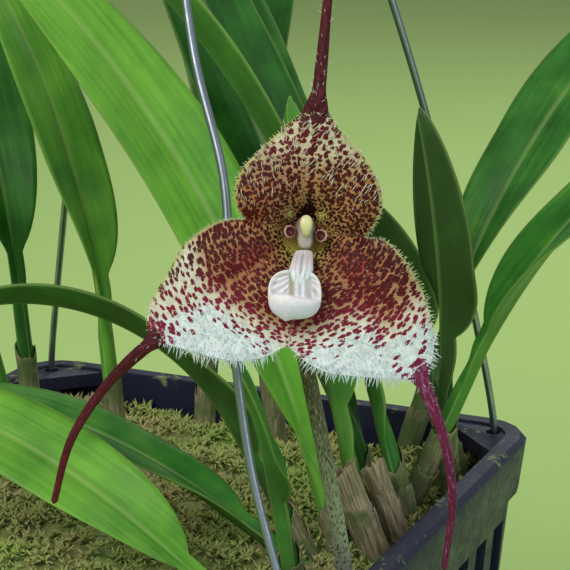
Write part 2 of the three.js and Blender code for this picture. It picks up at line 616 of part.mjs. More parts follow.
// Column: a short stout club that stands in the cup, taller than it is wide.
function makeColumn() {
  // each section is [height, half width, half length]
  const sections = [[-4.9, 0.9, 1.1], [-4.2, 1.25, 1.7], [-3.2, 1.35, 2.2], [-2.1, 1.3, 2.5], [-1.4, 1.1, 2.3],
    [-1.1, 0.7, 1.7]];
  return loft(sections.map(([z, wide, tall]) => Array.from({ length: 10 }, (_, j) => {
    const turn = (j / 10) * 2 * Math.PI;
    return vec(wide * Math.cos(turn), tall * Math.sin(turn) - 0.1, z);
  })));
}

// Anther cap: a small egg on the column's upper end, its narrow end down.
function makeAntherCap() {
  const egg = new THREE.SphereGeometry(1, 10, 8);
  const position = egg.attributes.position;
  for (let i = 0; i < position.count; i++) {
    const y = position.getY(i);
    const wide = 0.95 * (1 + 0.22 * y);
    position.setXYZ(i, position.getX(i) * wide, y * 1.6, position.getZ(i) * 0.75);
  }
  return egg.translate(0.2, 0.95, TOUCH - 1.1 + 0.78);
}

// Petal: a small thick cup on a short stalk beside the column, its dark hollow facing out.
const PETAL_PROFILE = [[0, -2.2], [0.45, -2.2], [0.55, -1.1], [0.9, -0.35], [1, 0.1], [0.8, 0.38], [0.5, 0.05],
  [0, -0.15]];
const PETAL_PLACES = { petal_left: [-2.3, 0.1, -0.9], petal_right: [2.4, -0.5, -0.9] };

function makePetal([x, y, z]) {
  const petal = new THREE.LatheGeometry(PETAL_PROFILE.map(([a, b]) => new THREE.Vector2(a, b)), 10);
  petal.rotateX(Math.PI / 2 + 0.1).rotateY(-0.12 * Math.sign(x));
  return petal.translate(x, y, z);
}

// Lip: a grooved claw that hangs from the column's foot and a rounded bowl with raised gills.
const LIP_CENTRE = [-1.55, -9.3];
const LIP_EDGE = 2.6; // height of the bowl's edge in front of the flower frame's origin
const LIP_DEPTH = 1.7;
const LIP_WIDE = 4.15;
const LIP_TALL = 3.85;
const LIP_STEPS = 26;
const LIP_RINGS = 7;
// sections of the claw, each [x, y, z, half width, half thickness], from the column down
const CLAW_SECTIONS = [[-0.2, -2.95, -1, 1.1, 0.5], [-0.25, -3.6, -0.3, 1.4, 0.7], [-0.45, -4.6, 0.9, 1.65, 0.85],
  [-0.6, -5.8, 2.1, 1.75, 0.95], [-0.8, -7.2, 2.7, 1.2, 0.8], [-1, -8.6, 2.6, 0.6, 0.5]];

function lipOutline(angle) {
  const squared = 1 - 0.045 * Math.cos(4 * angle);
  const beak = 0.35 * Math.exp(-Math.pow((angle + Math.PI * 0.6) / 0.16, 2));
  return [LIP_WIDE * Math.cos(angle) * squared + beak * Math.cos(angle),
    LIP_TALL * Math.sin(angle) * squared + beak * Math.sin(angle)];
}

// Face of the bowl: domed below, hollowed above, with gills that fan out from the claw.
function lipFace(x, y, share) {
  const dome = 2.5 * Math.sqrt(Math.max(0, 1 - share * share * 0.97)) * mix(0.75, 1, smooth(1.5, -2, y));
  const hollow = Math.exp(-(Math.pow(x / 3.0, 2) + Math.pow((y - 1.3) / 1.7, 2)));
  const fan = Math.atan2(x, 3.6 - y);
  const gills = 0.32 * Math.cos(fan * 9) * hollow;
  return dome - 1.9 * hollow + gills;
}

function makeLip() {
  const front = [vec(0, 0, lipFace(0, 0, 0))];
  const back = [vec(0, 0, -LIP_DEPTH)];
  for (let ring = 1; ring <= LIP_RINGS; ring++) {
    const share = ring / LIP_RINGS;
    for (let j = 0; j < LIP_STEPS; j++) {
      const [ox, oy] = lipOutline(((j / LIP_STEPS) * 2 - 1) * Math.PI);
      front.push(vec(ox * share, oy * share, lipFace(ox * share, oy * share, share) + 0.15));
      back.push(vec(ox * share, oy * share, -LIP_DEPTH * Math.sqrt(Math.max(0, 1 - share * share)) - 0.15));
    }
  }
  const bowl = twoSkins(front, back, LIP_RINGS, LIP_STEPS);
  bowl.translate(LIP_CENTRE[0], LIP_CENTRE[1], LIP_EDGE);
  const claw = loft(CLAW_SECTIONS.map(([x, y, z, wide, thick]) => Array.from({ length: 10 }, (_, j) => {
    const turn = (j / 10) * 2 * Math.PI;
    return vec(x + wide * Math.cos(turn), y + 0.3 * Math.sin(turn), z + thick * Math.sin(turn));
  })));
  return meshGeometry(solidOf(bowl).add(solidOf(claw)));
}

// Assembly
const object = new THREE.Group();

function piece(name, geometry, colour, parent = object) {
  const [hex, roughness, metalness] = COLOURS[colour];
  const faceted = geometry.index ? geometry.toNonIndexed() : geometry;
  faceted.computeVertexNormals();
  const mesh = new THREE.Mesh(faceted, new THREE.MeshStandardMaterial({ color: hex, roughness, metalness }));
  mesh.name = name;
  parent.add(mesh);
  return mesh;
}

piece('basket', makeBasket(), 'plastic');

const standing = [];
for (const [name, leaf] of Object.entries(LEAVES)) {
  piece(name, makeLeaf(leaf), 'leaf');
  standing.push({ ...leafLine(leaf), radius: SHEATH_RADIUS });
}
for (const [name, stub] of Object.entries(STUBS)) {
  piece(name, makeStub(stub), 'dry_stem');
  standing.push({ ...stubLine(stub), radius: stub.radius * 0.9 });
}
const scape = scapeLine();
const scapeThick = (t) => mix(SCAPE_FOOT_RADIUS, SCAPE_RADIUS, smooth(0, 0.7, t));
piece('scape', roundStem(scape.points, scapeThick, 8), 'scape');
standing.push({ ...scape, radius: SCAPE_FOOT_RADIUS });
piece('moss', makeMoss(standing), 'moss');

for (const [name, wire] of Object.entries(WIRES)) piece(`wire_${name}`, makeWire(wire), 'wire');
piece('hanger_hook', makeHook(), 'wire');

object.add(flower);
piece('sepals', makeSepals(), 'sepal', flower);
piece('ovary', makeOvary(), 'scape', flower);
piece('bract', makeBract(), 'bract', flower);
piece('column', makeColumn(), 'column', flower);
piece('anther_cap', makeAntherCap(), 'anther', flower);
piece('lip', makeLip(), 'lip', flower);
for (const [name, place] of Object.entries(PETAL_PLACES)) piece(name, makePetal(place), 'petal', flower);

export default object;
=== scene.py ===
"""Looks of a Dracula orchid in a square hanging basket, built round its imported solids.

Every shape is worked out in millimetres and put into its mesh in metres. The flower is made in
its own frame: x to the right, y up its face and z out of its face.
"""
import math
from functools import partial
from types import SimpleNamespace

import bmesh
import bpy
import numpy as np
from mathutils import Matrix, Vector


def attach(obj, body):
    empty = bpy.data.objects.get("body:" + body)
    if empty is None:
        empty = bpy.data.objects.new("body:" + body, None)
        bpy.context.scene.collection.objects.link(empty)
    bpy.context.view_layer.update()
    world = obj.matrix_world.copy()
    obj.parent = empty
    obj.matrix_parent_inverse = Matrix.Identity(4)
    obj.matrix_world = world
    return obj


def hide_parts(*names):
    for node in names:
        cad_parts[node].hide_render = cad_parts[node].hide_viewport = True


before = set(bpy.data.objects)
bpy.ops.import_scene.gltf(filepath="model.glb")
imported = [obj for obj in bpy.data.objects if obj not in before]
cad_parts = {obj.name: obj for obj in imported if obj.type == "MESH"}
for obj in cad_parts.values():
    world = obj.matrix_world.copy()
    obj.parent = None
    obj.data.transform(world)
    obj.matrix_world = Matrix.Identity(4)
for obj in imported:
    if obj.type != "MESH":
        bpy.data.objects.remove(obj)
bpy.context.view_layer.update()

bl_info = {
    "name": "Dracula orchid in a hanging basket",
    "version": (1, 0, 0),
    "blender": (4, 5, 0),
    "location": "View3D > Sidebar > Orchid",
    "description": "Builds the flower, leaves, moss, basket and hanger round their solids",
    "category": "Add Mesh",
}

MM = 0.001

# Basket and hanger, as in the solids
RIM_HEIGHT = 80.0
RIM_HALF = 60.0
FOOT_HALF = 52.0
WALL = 2.6
FLOOR = 3.0
BAND_STEP = 1.4
CORNER_RADIUS = 10.0
WEB_TOP = 79.4
WEB_THICK = 3.0
WIRE_RADIUS = 0.75
WIRE_HOLE = 52.5
WIRE_FOOT = 4.5
WIRE_GATHER = 1.5
COLLAR_LOW = 284.0
COLLAR_HIGH = 301.0
COLLAR_RADIUS = 3.7
COLLAR_TURNS = 9
HOOK_WIRE = 1.2
HOOK_RADIUS = 11.0
HOOK_CENTRE = 327.0
TOUCH = 0.3

# Moss and stems, as in the solids
MOSS_TOP = 73.0
STEM_DEPTH = 9.0
LEAF_STRAIGHT = 34.0
STEM_RADII = (1.75, 1.55)
SHEATH_RADII = (2.05, 2.3)
PETIOLE_HALF = 1.7

# Flower, as in the solids
FLOWER_PLACE = np.array([57.0, -56.0, 146.0])
TURN = math.radians(24)
LIFT = math.radians(15)
FLOWER_AXES = np.array([
    [math.cos(TURN), math.sin(TURN), 0],
    [-math.sin(TURN) * math.sin(LIFT), math.cos(TURN) * math.sin(LIFT), math.cos(LIFT)],
    [math.sin(TURN) * math.cos(LIFT), -math.cos(TURN) * math.cos(LIFT), math.sin(LIFT)],
])
SEPAL_THICK = 0.8
CUP_DEPTH = 5.6
CUP_REACH = 4.4
THROAT = 5.4

# Margin of the joined sepals
OUTLINE = [
    (1.8, 19.8), (0.2, 18.2), (-1.7, 16.7), (-4.6, 14.2), (-7.4, 11.6), (-9.5, 9.4), (-10.5, 6.6),
    (-10.4, 4.0), (-9.3, 2.0), (-10.4, 2.0), (-13.0, 1.6), (-15.8, 0.1), (-18.4, -2.3), (-20.2, -5.5),
    (-21.9, -8.3), (-23.3, -11.2), (-23.5, -14.2), (-22.7, -15.9), (-21.0, -16.7), (-17.8, -17.5),
    (-13.3, -18.8), (-9.2, -19.2), (-5.4, -18.4), (-2.7, -17.1), (-0.9, -18.6), (2.6, -20.7), (7.6, -21.5),
    (13.0, -21.9), (15.8, -22.0), (17.6, -21.6), (18.9, -19.6), (19.3, -16.6), (18.7, -12.2), (17.2, -8.0),
    (14.9, -4.1), (12.2, -1.3), (9.4, -0.8), (10.2, 0.5), (11.5, 3.2), (11.4, 6.4), (10.1, 9.3),
    (7.9, 12.3), (5.2, 15.2), (3.4, 18.0),
]

# Directions of the upper, left and right sepal's midrib, and of the seams between them, in degrees.
MIDRIBS = (84, 215, 308)
SEAMS = (168, 262, 357)

# Tails in the flower frame; drop is how far the end hangs behind the face.
TAILS = {
    "upper": {"drop": 5, "via": [(1.3, 16.4), (1.9, 19.6), (2.6, 26), (3.4, 34.4), (4.6, 46), (7, 57)]},
    "left": {
        "drop": 4,
        "via": [(-20.4, -14.6), (-22.8, -16.4), (-26.6, -19.6), (-31, -24.4), (-35.4, -31.6), (-38, -41)],
    },
    "right": {
        "drop": 3,
        "via": [(16, -19.4), (17.2, -21.8), (18.9, -25.6), (21, -31.6), (22.2, -40), (21, -51)],
    },
}
TAIL_FOOT = (1.9, 0.55)

# Upper edge of the white field on the two lower sepals, from left to right.
WHITE_EDGE = [
    (-24.6, -14.0), (-20.9, -13.2), (-17.5, -11.4), (-14.8, -10.6), (-12.5, -12.0), (-9.7, -13.9),
    (-6.2, -16.0), (-3.0, -17.6), (-0.7, -17.6), (1.6, -16.9), (4.0, -15.9), (8.6, -14.4), (11.9, -16.6),
    (14.5, -15.5), (17.6, -13.6), (21.0, -12.6),
]

# Two bare pale streaks between the marks of the lower sepals, from end to end.
STREAKS = (((-5.8, -4.2), (-12.6, -8.2)), ((4.6, -5.9), (6.6, -8.3)))

# Rows of marks on the upper, left and right sepal: they lie round a point behind the flower's middle
# on the sepal's axis. Cells are 1/around of their distance from that point wide, and first + growth
# times the distance passed beyond the flower's middle long.
MARK_ROWS = {
    "axis": MIDRIBS, "behind": (4.0, 6.5, 6.5), "around": (18.5, 18.0, 18.0),
    "first": (0.24, 0.28, 0.28), "growth": (0.046, 0.022, 0.022),
}

# Radius, in cells, within which the points of the pattern cover that share of the ground.
COVER_SHARES = (0, 0.04, 0.1, 0.2, 0.3, 0.4, 0.5, 0.6, 0.7, 0.8, 0.9, 0.95, 0.985, 1)
COVER_RADII = (0, 0.11, 0.17, 0.25, 0.31, 0.36, 0.42, 0.47, 0.53, 0.6, 0.7, 0.78, 0.9, 1.2)

# Leafy stems, as in the solids. Angles are in degrees; lean and roll run from foot to tip. Base is the
# length of round stem. Tone runs from 0, a deep old leaf in painted shade, to 1, a bright young leaf
# in painted backlight.
LEAF_COLUMNS = (
    "x", "y", "heading", "lean", "tip_lean", "roll", "tip_roll", "base", "length", "width", "tone",
)
LEAF_ROWS = (
    (42, -6, 195, 18, 55, 50, 40, 14, 148, 18, 0.95),
    (41, 15, 175, 17, 38, 36, 30, 18, 146, 20, 0.3),
    (49, 12, 192, 15, 60, -20, -34, 20, 156, 17, 0.45),
    (50.5, 30, 204, 2, 12, -30, -40, 22, 76, 16, 0.0),
    (48.5, 43, 204, 18, 26, -50, -60, 22, 64, 15, 0.0),
    (38.6, -15, 199, 53, 96, 14, 6, 10, 94, 12, 0.5),
    (38, -40, 184, 53, 94, 36, 30, 10, 96, 16, 0.9),
    (43.6, 4.4, 208, 14, 2, -50, -50, 16, 84, 14, 0.75),
    (36.6, -9.8, 200, 28, 122, -14, -26, 12, 94, 17, 0.1),
    (28, 36, 172, 12, 50, 10, 8, 30, 150, 20, 0.35),
    (46, 22, 8, 22, 78, -24, -20, 30, 140, 18, 0.5),
    (-40, 24, 150, 10, 58, 6, 10, 30, 150, 19, 0.4),
    (-32, 6, 188, 14, 72, 16, 14, 30, 136, 18, 0.6),
    (-38, -22, 215, 14, 66, -8, -4, 30, 98, 15, 0.85),
    (35, 48, 62, 24, 74, -6, -10, 30, 142, 18, 0.45),
    (9, 40, 146, 10, 46, 8, 12, 30, 132, 17, 0.55),
    (-14, 14, 176, 6, 40, 10, 16, 30, 116, 15, 0.8),
    (-10, 44, 96, 14, 62, -6, -4, 30, 138, 18, 0.35),
    (-46, -5, 174, 20, 82, 4, 8, 30, 116, 16, 0.7),
    (42.6, -27, 232, 12, 34, 20, 24, 8, 50, 13, 0.42),
)
OLD_STEMS = {
    "old_stem_1": SimpleNamespace(x=48.6, y=-4, heading=200, lean=21, length=18, radius=2.5),
    "old_stem_2": SimpleNamespace(x=49.5, y=4.4, heading=200, lean=18, length=15, radius=2.1),
}

# Scape, joint, stalk, petals, column and lip, as in the solids
SCAPE_FOOT = (50.8, -23.2)
SCAPE_BENDS = [(52.0, -27.6, 81), (53.7, -35.8, 94.4), (54.5, -43.4, 109)]
SCAPE_RADIUS = 1.25
SCAPE_FOOT_RADIUS = 1.5
JOINT = np.array([-1.6, -9.5, -12.6])
JOINT_ALONG = np.array([-0.14, 0.88, 0.42]) / np.linalg.norm([-0.14, 0.88, 0.42])
OVARY_BENDS = [(-1.9, -6.4, -11.4), (-1.2, -3.2, -10.4), (-0.3, -0.9, -8.9), (0, 0, -6.9)]
BRACT_PROFILE = [(1.25, 0), (1.45, 1.8), (1.8, 3.6), (2.2, 3.6), (1.85, 1.8), (1.35, 0)]
PETAL_PLACES = {"petal_left": (-2.3, 0.1, -0.9), "petal_right": (2.4, -0.5, -0.9)}
PETAL_PROFILE = [
    (0.02, -0.15), (0.3, -0.1), (0.5, 0.05), (0.68, 0.24), (0.8, 0.38), (0.92, 0.34), (1.0, 0.1),
    (0.97, -0.15), (0.9, -0.35), (0.7, -0.75), (0.55, -1.1), (0.48, -1.7), (0.45, -2.2),
]
COLUMN_SECTIONS = [
    (-4.9, 0.9, 1.1), (-4.2, 1.25, 1.7), (-3.2, 1.35, 2.2), (-2.1, 1.3, 2.5), (-1.4, 1.1, 2.3),
    (-1.1, 0.7, 1.7),
]
LIP_CENTRE = (-1.55, -9.3)
LIP_EDGE = 2.6
LIP_DEPTH = 1.7
LIP_WIDE = 4.15
LIP_TALL = 3.85
KEEL_X = 0.85
CLAW_SECTIONS = [
    (-0.2, -2.95, -1.0, 1.3, 0.5), (-0.25, -3.6, -0.3, 1.5, 0.7), (-0.45, -4.6, 0.9, 1.65, 0.85),
    (-0.6, -5.8, 2.1, 1.75, 0.95), (-0.75, -7.2, 2.7, 1.2, 0.8), (-0.75, -8.6, 2.6, 0.6, 0.5),
]

# Hanger wires, as in the solids; each bend is (share of the way up, sag along the edge, sag outwards).
WIRES = {
    "wire_front_right": {
        "corner": (1, -1),
        "bends": [
            (0.12, -2.6, -1.0), (0.25, -3.3, 1.1), (0.35, -2.1, 2.4), (0.46, -3.9, 0.4), (0.72, -2.6, 0),
        ],
    },
    "wire_front_left": {"corner": (-1, -1), "bends": [(0.25, 1.2, 3.0), (0.5, 2.0, 5.0), (0.75, 1.4, 3.4)]},
    "wire_back_left": {"corner": (-1, 1), "bends": [(0.25, -1.8, 5.0), (0.5, -2.6, 8.0), (0.75, -1.6, 5.0)]},
    "wire_back_right": {"corner": (1, 1), "bends": [(0.25, 1.0, 7.0), (0.5, 1.6, 9.5), (0.75, 1.2, 6.0)]},
}

# Layers of a mesh: point attributes and their widths
PAINT = (("ground", 3),)
GRAIN = (("grain", 3),)
SEPAL_LAYERS = (("ground", 3), ("pigment", 3), ("level", 1), ("lattice", 3))
LEAF_LAYERS = (("grain", 3), ("tone", 1), ("across", 1), ("under", 1))


# Maths on whole arrays

def smooth(low, high, x):
    """Eases from 0 at low to 1 at high: three t squared less two t cubed."""
    t = np.clip((x - low) / (high - low), 0, 1)
    return t * t * (3 - 2 * t)


def mix(a, b, t):
    """Straight line from a at t = 0 to b at t = 1."""
    return a + (b - a) * t


def coated(base, *coats):
    """Colours or values laid over one another: each coat, (value, amount), covers by its amount."""
    for value, amount in coats:
        base = mix(base, value, amount[..., None] if np.shape(value) == (3,) else amount)
    return base


def bell(x, centre, spread):
    """A bell curve: 1 at the centre, falling off on both sides."""
    return np.exp(-((x - centre) / spread) ** 2 / 2)


def peak(x, spread):
    """A narrower bell curve round nought, without the half in its exponent."""
    return np.exp(-((x / spread) ** 2))


def turned_bell(angle, centre, spread):
    """The bell curve on directions in degrees, the short way round."""
    return bell((angle - centre + 540) % 360 - 180, 0, spread)


def way_round(x, y):
    """Direction of each point from the middle, in degrees from 0 to 360."""
    return np.degrees(np.arctan2(y, x)) % 360


def round_turn(count):
    """Directions spread evenly round a circle, in radians."""
    return np.linspace(0, 2 * np.pi, count, endpoint=False)


def unit(v):
    """Vectors scaled to length one."""
    return v / np.linalg.norm(v, axis=-1, keepdims=True)


def stacked(*columns):
    """Values brought to one shape and set side by side along a new last axis."""
    return np.stack(np.broadcast_arrays(*columns), axis=-1)


def walked(line):
    """How far along a line each of its points lies."""
    return np.concatenate([[0], np.cumsum(np.linalg.norm(np.diff(line, axis=0), axis=1))])


def spline(points, count, closed=False, dense=48):
    """Evenly spaced points on a smooth line through the given ones.

    Each stretch is a cubic whose end slopes come from its neighbours, with knots spaced by the
    square root of the distance; the line is then walked by its length.
    """
    p = np.asarray(points, float)
    around = [p[-1:], p, p[:2]] if closed else [2 * p[:1] - p[1:2], p, 2 * p[-1:] - p[-2:-1]]
    q = np.vstack(around)
    a, b, c, d = q[:-3], q[1:-2], q[2:-1], q[3:]
    k0, k1, k2 = (np.sqrt(np.linalg.norm(v, axis=1, keepdims=True)) for v in (b - a, c - b, d - c))
    m1 = k1 * ((b - a) / k0 - (c - a) / (k0 + k1) + (c - b) / k1)
    m2 = k1 * ((c - b) / k1 - (d - b) / (k1 + k2) + (d - c) / k2)
    t = (np.arange(dense) / dense)[None, :, None]
    a, b, c, m1, m2 = (v[:, None] for v in (a, b, c, m1, m2))
    line = b + m1 * t + (3 * (c - b) - 2 * m1 - m2) * t**2 + (2 * (b - c) + m1 + m2) * t**3
    line = np.vstack([line.reshape(-1, p.shape[1]), p[:1] if closed else p[-1:]])
    reach = walked(line)
    at = np.linspace(0, reach[-1], count, endpoint=not closed)
    return np.stack([np.interp(at, reach, column) for column in line.T], axis=1)


def frames(line, hint):
    """Direction, side and up along a line; the side is the hint made square to the direction."""
    along = unit(np.gradient(line, axis=0))
    side = unit(hint - along * np.sum(along * hint, axis=1, keepdims=True))
    return along, side, np.cross(along, side)


def in_flower(points):
    """Points of the flower frame in the row frame: place + x·X + y·Y + z·Z."""
    return FLOWER_PLACE + np.asarray(points) @ FLOWER_AXES


def layered(points, *layers):
    """Appends layers to points: one colour for all, a colour or vector each, or a value each."""
    wide = [v if v.ndim in (1, points.ndim) else v[..., None] for v in map(np.asarray, layers)]
    spread = [np.broadcast_to(v, points.shape[:-1] + v.shape[-1:]) for v in wide]
    return np.concatenate([points, *spread], axis=-1)


def grid_quads(rows, count):
    """Quads between neighbouring rows of points, each row's last point joined to its first."""
    i, j = np.meshgrid(np.arange(rows - 1), np.arange(count), indexing="ij")
    a = i * count + j
    b = i * count + (j + 1) % count
    return stacked(a, b, b + count, a + count).reshape(-1, 4)


def skin(rings):
    """A skin through rings of equal point counts, closed at both ends by a fan round the ring's middle."""
    rows, count = rings.shape[:2]
    points = np.vstack([rings.reshape(-1, rings.shape[2]), rings[0].mean(0), rings[-1].mean(0)])
    j = np.arange(count)
    k = (j + 1) % count
    last = (rows - 1) * count
    fans = np.vstack([stacked(rows * count, k, j), stacked(rows * count + 1, last + j, last + k)])
    return points, [grid_quads(rows, count), fans]


def carried(line, wide, thick, sides, hint, waves=0, depth=0.0):
    """Rings of an oval carried along a line: line + (side·wide·cos + up·thick·sin) · rib.

    The rib, 1 + depth·cos(waves · turn), gives it that many shallow ribs.
    """
    _, side, up = frames(line, hint)
    turn = round_turn(sides)[None, :, None]
    wide, thick, depth = (np.broadcast_to(v, len(line))[:, None, None] for v in (wide, thick, depth))
    across = side[:, None] * wide * np.cos(turn) + up[:, None] * thick * np.sin(turn)
    return line[:, None] + across * (1 + depth * np.cos(waves * turn))


def joined(*shapes):
    """Several shapes as one: points stacked, faces renumbered."""
    starts = np.cumsum([0] + [len(points) for points, _ in shapes])
    faces = [f + start for (_, group), start in zip(shapes, starts) for f in group]
    return np.vstack([points for points, _ in shapes]), faces


def spikes(roots, ways, lengths, thick, bends, levels=((0.0, 1.0), (0.45, 0.8), (0.85, 0.45))):
    """Many thin three-sided spikes, as hairs or moss leaflets.

    A spike's middle line is root + way·length·s + bend·length·s², and at each level (s, width) it has
    a ring of three points; a tip at s = 1 and a triangle at the root close it.
    """
    total, per = len(roots), 3 * len(levels) + 1
    s, width = np.array(levels).T[:, None, :, None]
    reach = lengths[:, None, None]
    middle = roots[:, None, :3] + ways[:, None] * reach * s + bends[:, None] * reach * s**2
    other = np.where(np.abs(ways[:, 2:]) < 0.8, [[0.0, 0.0, 1.0]], [[1.0, 0.0, 0.0]])
    u = unit(np.cross(ways, other))
    v = unit(np.cross(ways, u))
    turn = round_turn(3)[None, :, None]
    ring = u[:, None] * np.cos(turn) + v[:, None] * np.sin(turn)
    thick = np.broadcast_to(thick, total)[:, None, None, None]
    rings = middle[:, :, None] + ring[:, None] * width[..., None] * thick
    tips = roots[:, :3] + (ways + bends) * lengths[:, None]
    points = np.concatenate([rings.reshape(total, -1, 3), tips[:, None]], axis=1)
    extra = np.broadcast_to(roots[:, None, 3:], (total, per, roots.shape[1] - 3))
    points = np.concatenate([points, extra], axis=2).reshape(total * per, -1)
    last = per - 4
    caps = np.array([[0, 2, 1]] + [[last + k, last + (k + 1) % 3, per - 1] for k in range(3)])
    shift = (np.arange(total) * per)[:, None, None]
    sides = grid_quads(len(levels), 3)
    return points, [(faces + shift).reshape(-1, faces.shape[1]) for faces in (sides, caps)]


def place(name, shape, material, replaces=(), layers=()):
    """Makes one piece of the object from a shape in millimetres.

    Columns after the first three go to point attributes: layers lists their names and widths.
    Faces are turned so that the enclosed volume is positive. The piece rides on the root body.
    """
    points, faces = shape
    corners = points[:, :3] * MM
    volume = sum(np.einsum("ij,ij->", corners[f[:, 0]], np.cross(corners[f[:, k]], corners[f[:, k + 1]]))
                 for f in faces for k in range(1, f.shape[1] - 1))
    if volume < 0:
        faces = [f[:, ::-1] for f in faces]
    mesh = bpy.data.meshes.new(name)
    loops = np.concatenate([f.ravel() for f in faces]).astype(np.int32)
    sizes = np.concatenate([np.full(len(f), f.shape[1]) for f in faces])
    mesh.vertices.add(len(corners))
    mesh.vertices.foreach_set("co", corners.astype(np.float32).ravel())
    mesh.loops.add(len(loops))
    mesh.loops.foreach_set("vertex_index", loops)
    mesh.polygons.add(len(sizes))
    mesh.polygons.foreach_set("loop_start", (np.cumsum(sizes) - sizes).astype(np.int32))
    mesh.polygons.foreach_set("use_smooth", np.ones(len(sizes), bool))
    column = 3
    for layer, width in layers:
        kind, field = ("FLOAT", "value") if width == 1 else ("FLOAT_VECTOR", "vector")
        values = points[:, column:column + width].astype(np.float32).ravel()
        mesh.attributes.new(layer, kind, "POINT").data.foreach_set(field, values)
        column += width
    mesh.update(calc_edges=True)
    mesh.validate()
    show(name, mesh, material, replaces)


def show(name, mesh, material, replaces):
    """Links a mesh as a piece with its material and slot, on the root body, for the nodes it replaces."""
    mesh.materials.append(material)
    piece = bpy.data.objects.new(name, mesh)
    bpy.context.scene.collection.objects.link(piece)
    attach(piece, "root")
    if replaces:
        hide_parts(*replaces)
    return piece


# Colours and materials

def linear(code):
    """A colour written as sRGB hex, turned to linear values."""
    value = np.array([int(code[k:k + 2], 16) / 255 for k in (1, 3, 5)])
    value = np.where(value <= 0.04045, value / 12.92, ((value + 0.055) / 1.055) ** 2.4)
    return (*value, 1.0)


def settings(group):
    """The settings of one group: each colour as an array, each number as it is."""
    values = getattr(bpy.context.scene, group)
    keys = GROUPS[group].__annotations__
    return SimpleNamespace(**{key: np.array(getattr(values, key))[()] for key in keys})


def add_node(tree, kind, inputs=(), stops=(), **properties):
    """Adds a shader node with its settings and links, and hands back one of its outputs.

    Kind names the node, and after a dot the output, which is the first where none is named. Inputs
    are a list in the order of the sockets or a dictionary by their names, each a value or the output
    of another node. Stops are a colour ramp's, each (position, colour).
    """
    kind, _, output = kind.partition(".")
    node = tree.nodes.new("ShaderNode" + kind)
    for name, value in properties.items():
        setattr(node, name, value)
    for k, (position, tint) in enumerate(stops):
        elements = node.color_ramp.elements
        if k == 0:
            elements.remove(elements[1])
        stop = elements.new(position) if k else elements[0]
        stop.position = position
        stop.color = tint
    for name, value in inputs.items() if isinstance(inputs, dict) else enumerate(inputs):
        if isinstance(value, bpy.types.NodeSocket):
            tree.links.new(value, node.inputs[name])
        else:
            node.inputs[name].default_value = value
    return node.outputs[int(output or 0) if not output.isalpha() else output]


def blank_material(name):
    """A material without nodes, and the function that adds them to it."""
    material = bpy.data.materials.new(name)
    material.use_nodes = True
    material.node_tree.nodes.clear()
    return material, partial(add_node, material.node_tree)


def finished(material, surface):
    """Ends a material: its surface shader goes to its output."""
    tree = material.node_tree
    tree.links.new(surface, tree.nodes.new("ShaderNodeOutputMaterial").inputs["Surface"])
    return material


def sepal_tissue():
    """Orchid sepal, living tissue with a papillose skin.

    It gives soft, nearly matt colour with fine glints on the papillae. Marks lie where the distance to
    a scatter of points is under the layer "level": spots apart where that is low, a net with islands
    of ground where it is high. Cells are about 0.4 mm at the throat and 1.4 mm at the tips.
    """
    material, add = blank_material("sepal papillose tissue")
    ground, pigment = (add("Attribute.Color", attribute_name=layer) for layer in ("ground", "pigment"))
    level = add("Attribute.Fac", attribute_name="level")
    rows = add("Attribute.Vector", attribute_name="lattice")
    presence = add("SeparateXYZ.Z", [rows])
    cells = add("VectorMath", [rows, (1.0, 1.0, 0.0)], operation="MULTIPLY")
    spot = add("TexCoord.Object")

    ragged = add("TexNoise.Fac", {"Vector": cells, "Scale": 1.6, "Detail": 2.0})
    pull = add("VectorMath", [ragged.node.outputs["Color"], (0.5, 0.5, 0.5)], operation="SUBTRACT")
    pull = add("VectorMath", {0: pull, "Scale": 0.9}, operation="SCALE")
    warped = add("VectorMath", [cells, pull])
    scatter = {"Vector": warped, "Scale": 1.0, "Randomness": 0.85}
    spots = add("TexVoronoi.Distance", scatter, voronoi_dimensions="2D")
    draws = add("SeparateXYZ.X", [spots.node.outputs["Color"]])
    grown = add("Math", [draws.node.outputs["Y"], 0.5, 0.75], operation="MULTIPLY_ADD")
    level = add("Math", [level, grown], operation="MULTIPLY")
    absent = add("Math", [draws, presence], operation="GREATER_THAN")
    level = add("Math", [absent, -2.0, level], operation="MULTIPLY_ADD")
    rough = add("Math", [ragged, 0.3, -0.15], operation="MULTIPLY_ADD")
    field = add("Math", [spots, rough])
    gap = add("Math", [level, field], operation="SUBTRACT")
    mark = add("MapRange", [gap, -0.06, 0.06], interpolation_type="SMOOTHSTEP")

    mottle = add("TexNoise.Fac", {"Vector": spot, "Scale": 900, "Detail": 3})
    shade = add("MapRange", [mottle, 0.3, 0.7, 0.84, 1.12])
    deep = add("MapRange", [gap, 0.0, 0.3, 1.2, 0.7])
    marked = add("VectorMath", {0: pigment, "Scale": deep}, operation="SCALE")
    painted = add("Mix.2", {0: mark, 6: ground, 7: marked}, data_type="RGBA")
    painted = add("VectorMath", {0: painted, "Scale": shade}, operation="SCALE")
    papillae = add("TexVoronoi.Distance", {"Vector": spot, "Scale": 2800})
    raised = add("Math", [mark, 0.7, papillae], operation="MULTIPLY_ADD")
    bump = add("Bump", {"Strength": 0.55, "Distance": 0.0002, "Height": raised})
    return finished(material, add("BsdfPrincipled", {
        "Base Color": painted, "Roughness": 0.5, "Subsurface Weight": 0.12, "Subsurface Scale": 0.0008,
        "IOR": 1.36, "Specular IOR Level": 0.35, "Normal": bump,
    }))


def hair_tissue():
    """Hairs and papillae: thin clear cells, so pale, a little glossy, and lit from within."""
    material, add = blank_material("hair clear cells")
    tint = add("Attribute.Color", attribute_name="ground")
    return finished(material, add("BsdfPrincipled", {
        "Base Color": tint, "Roughness": 0.38, "Subsurface Weight": 0.35, "Subsurface Scale": 0.0008,
        "IOR": 1.4,
    }))


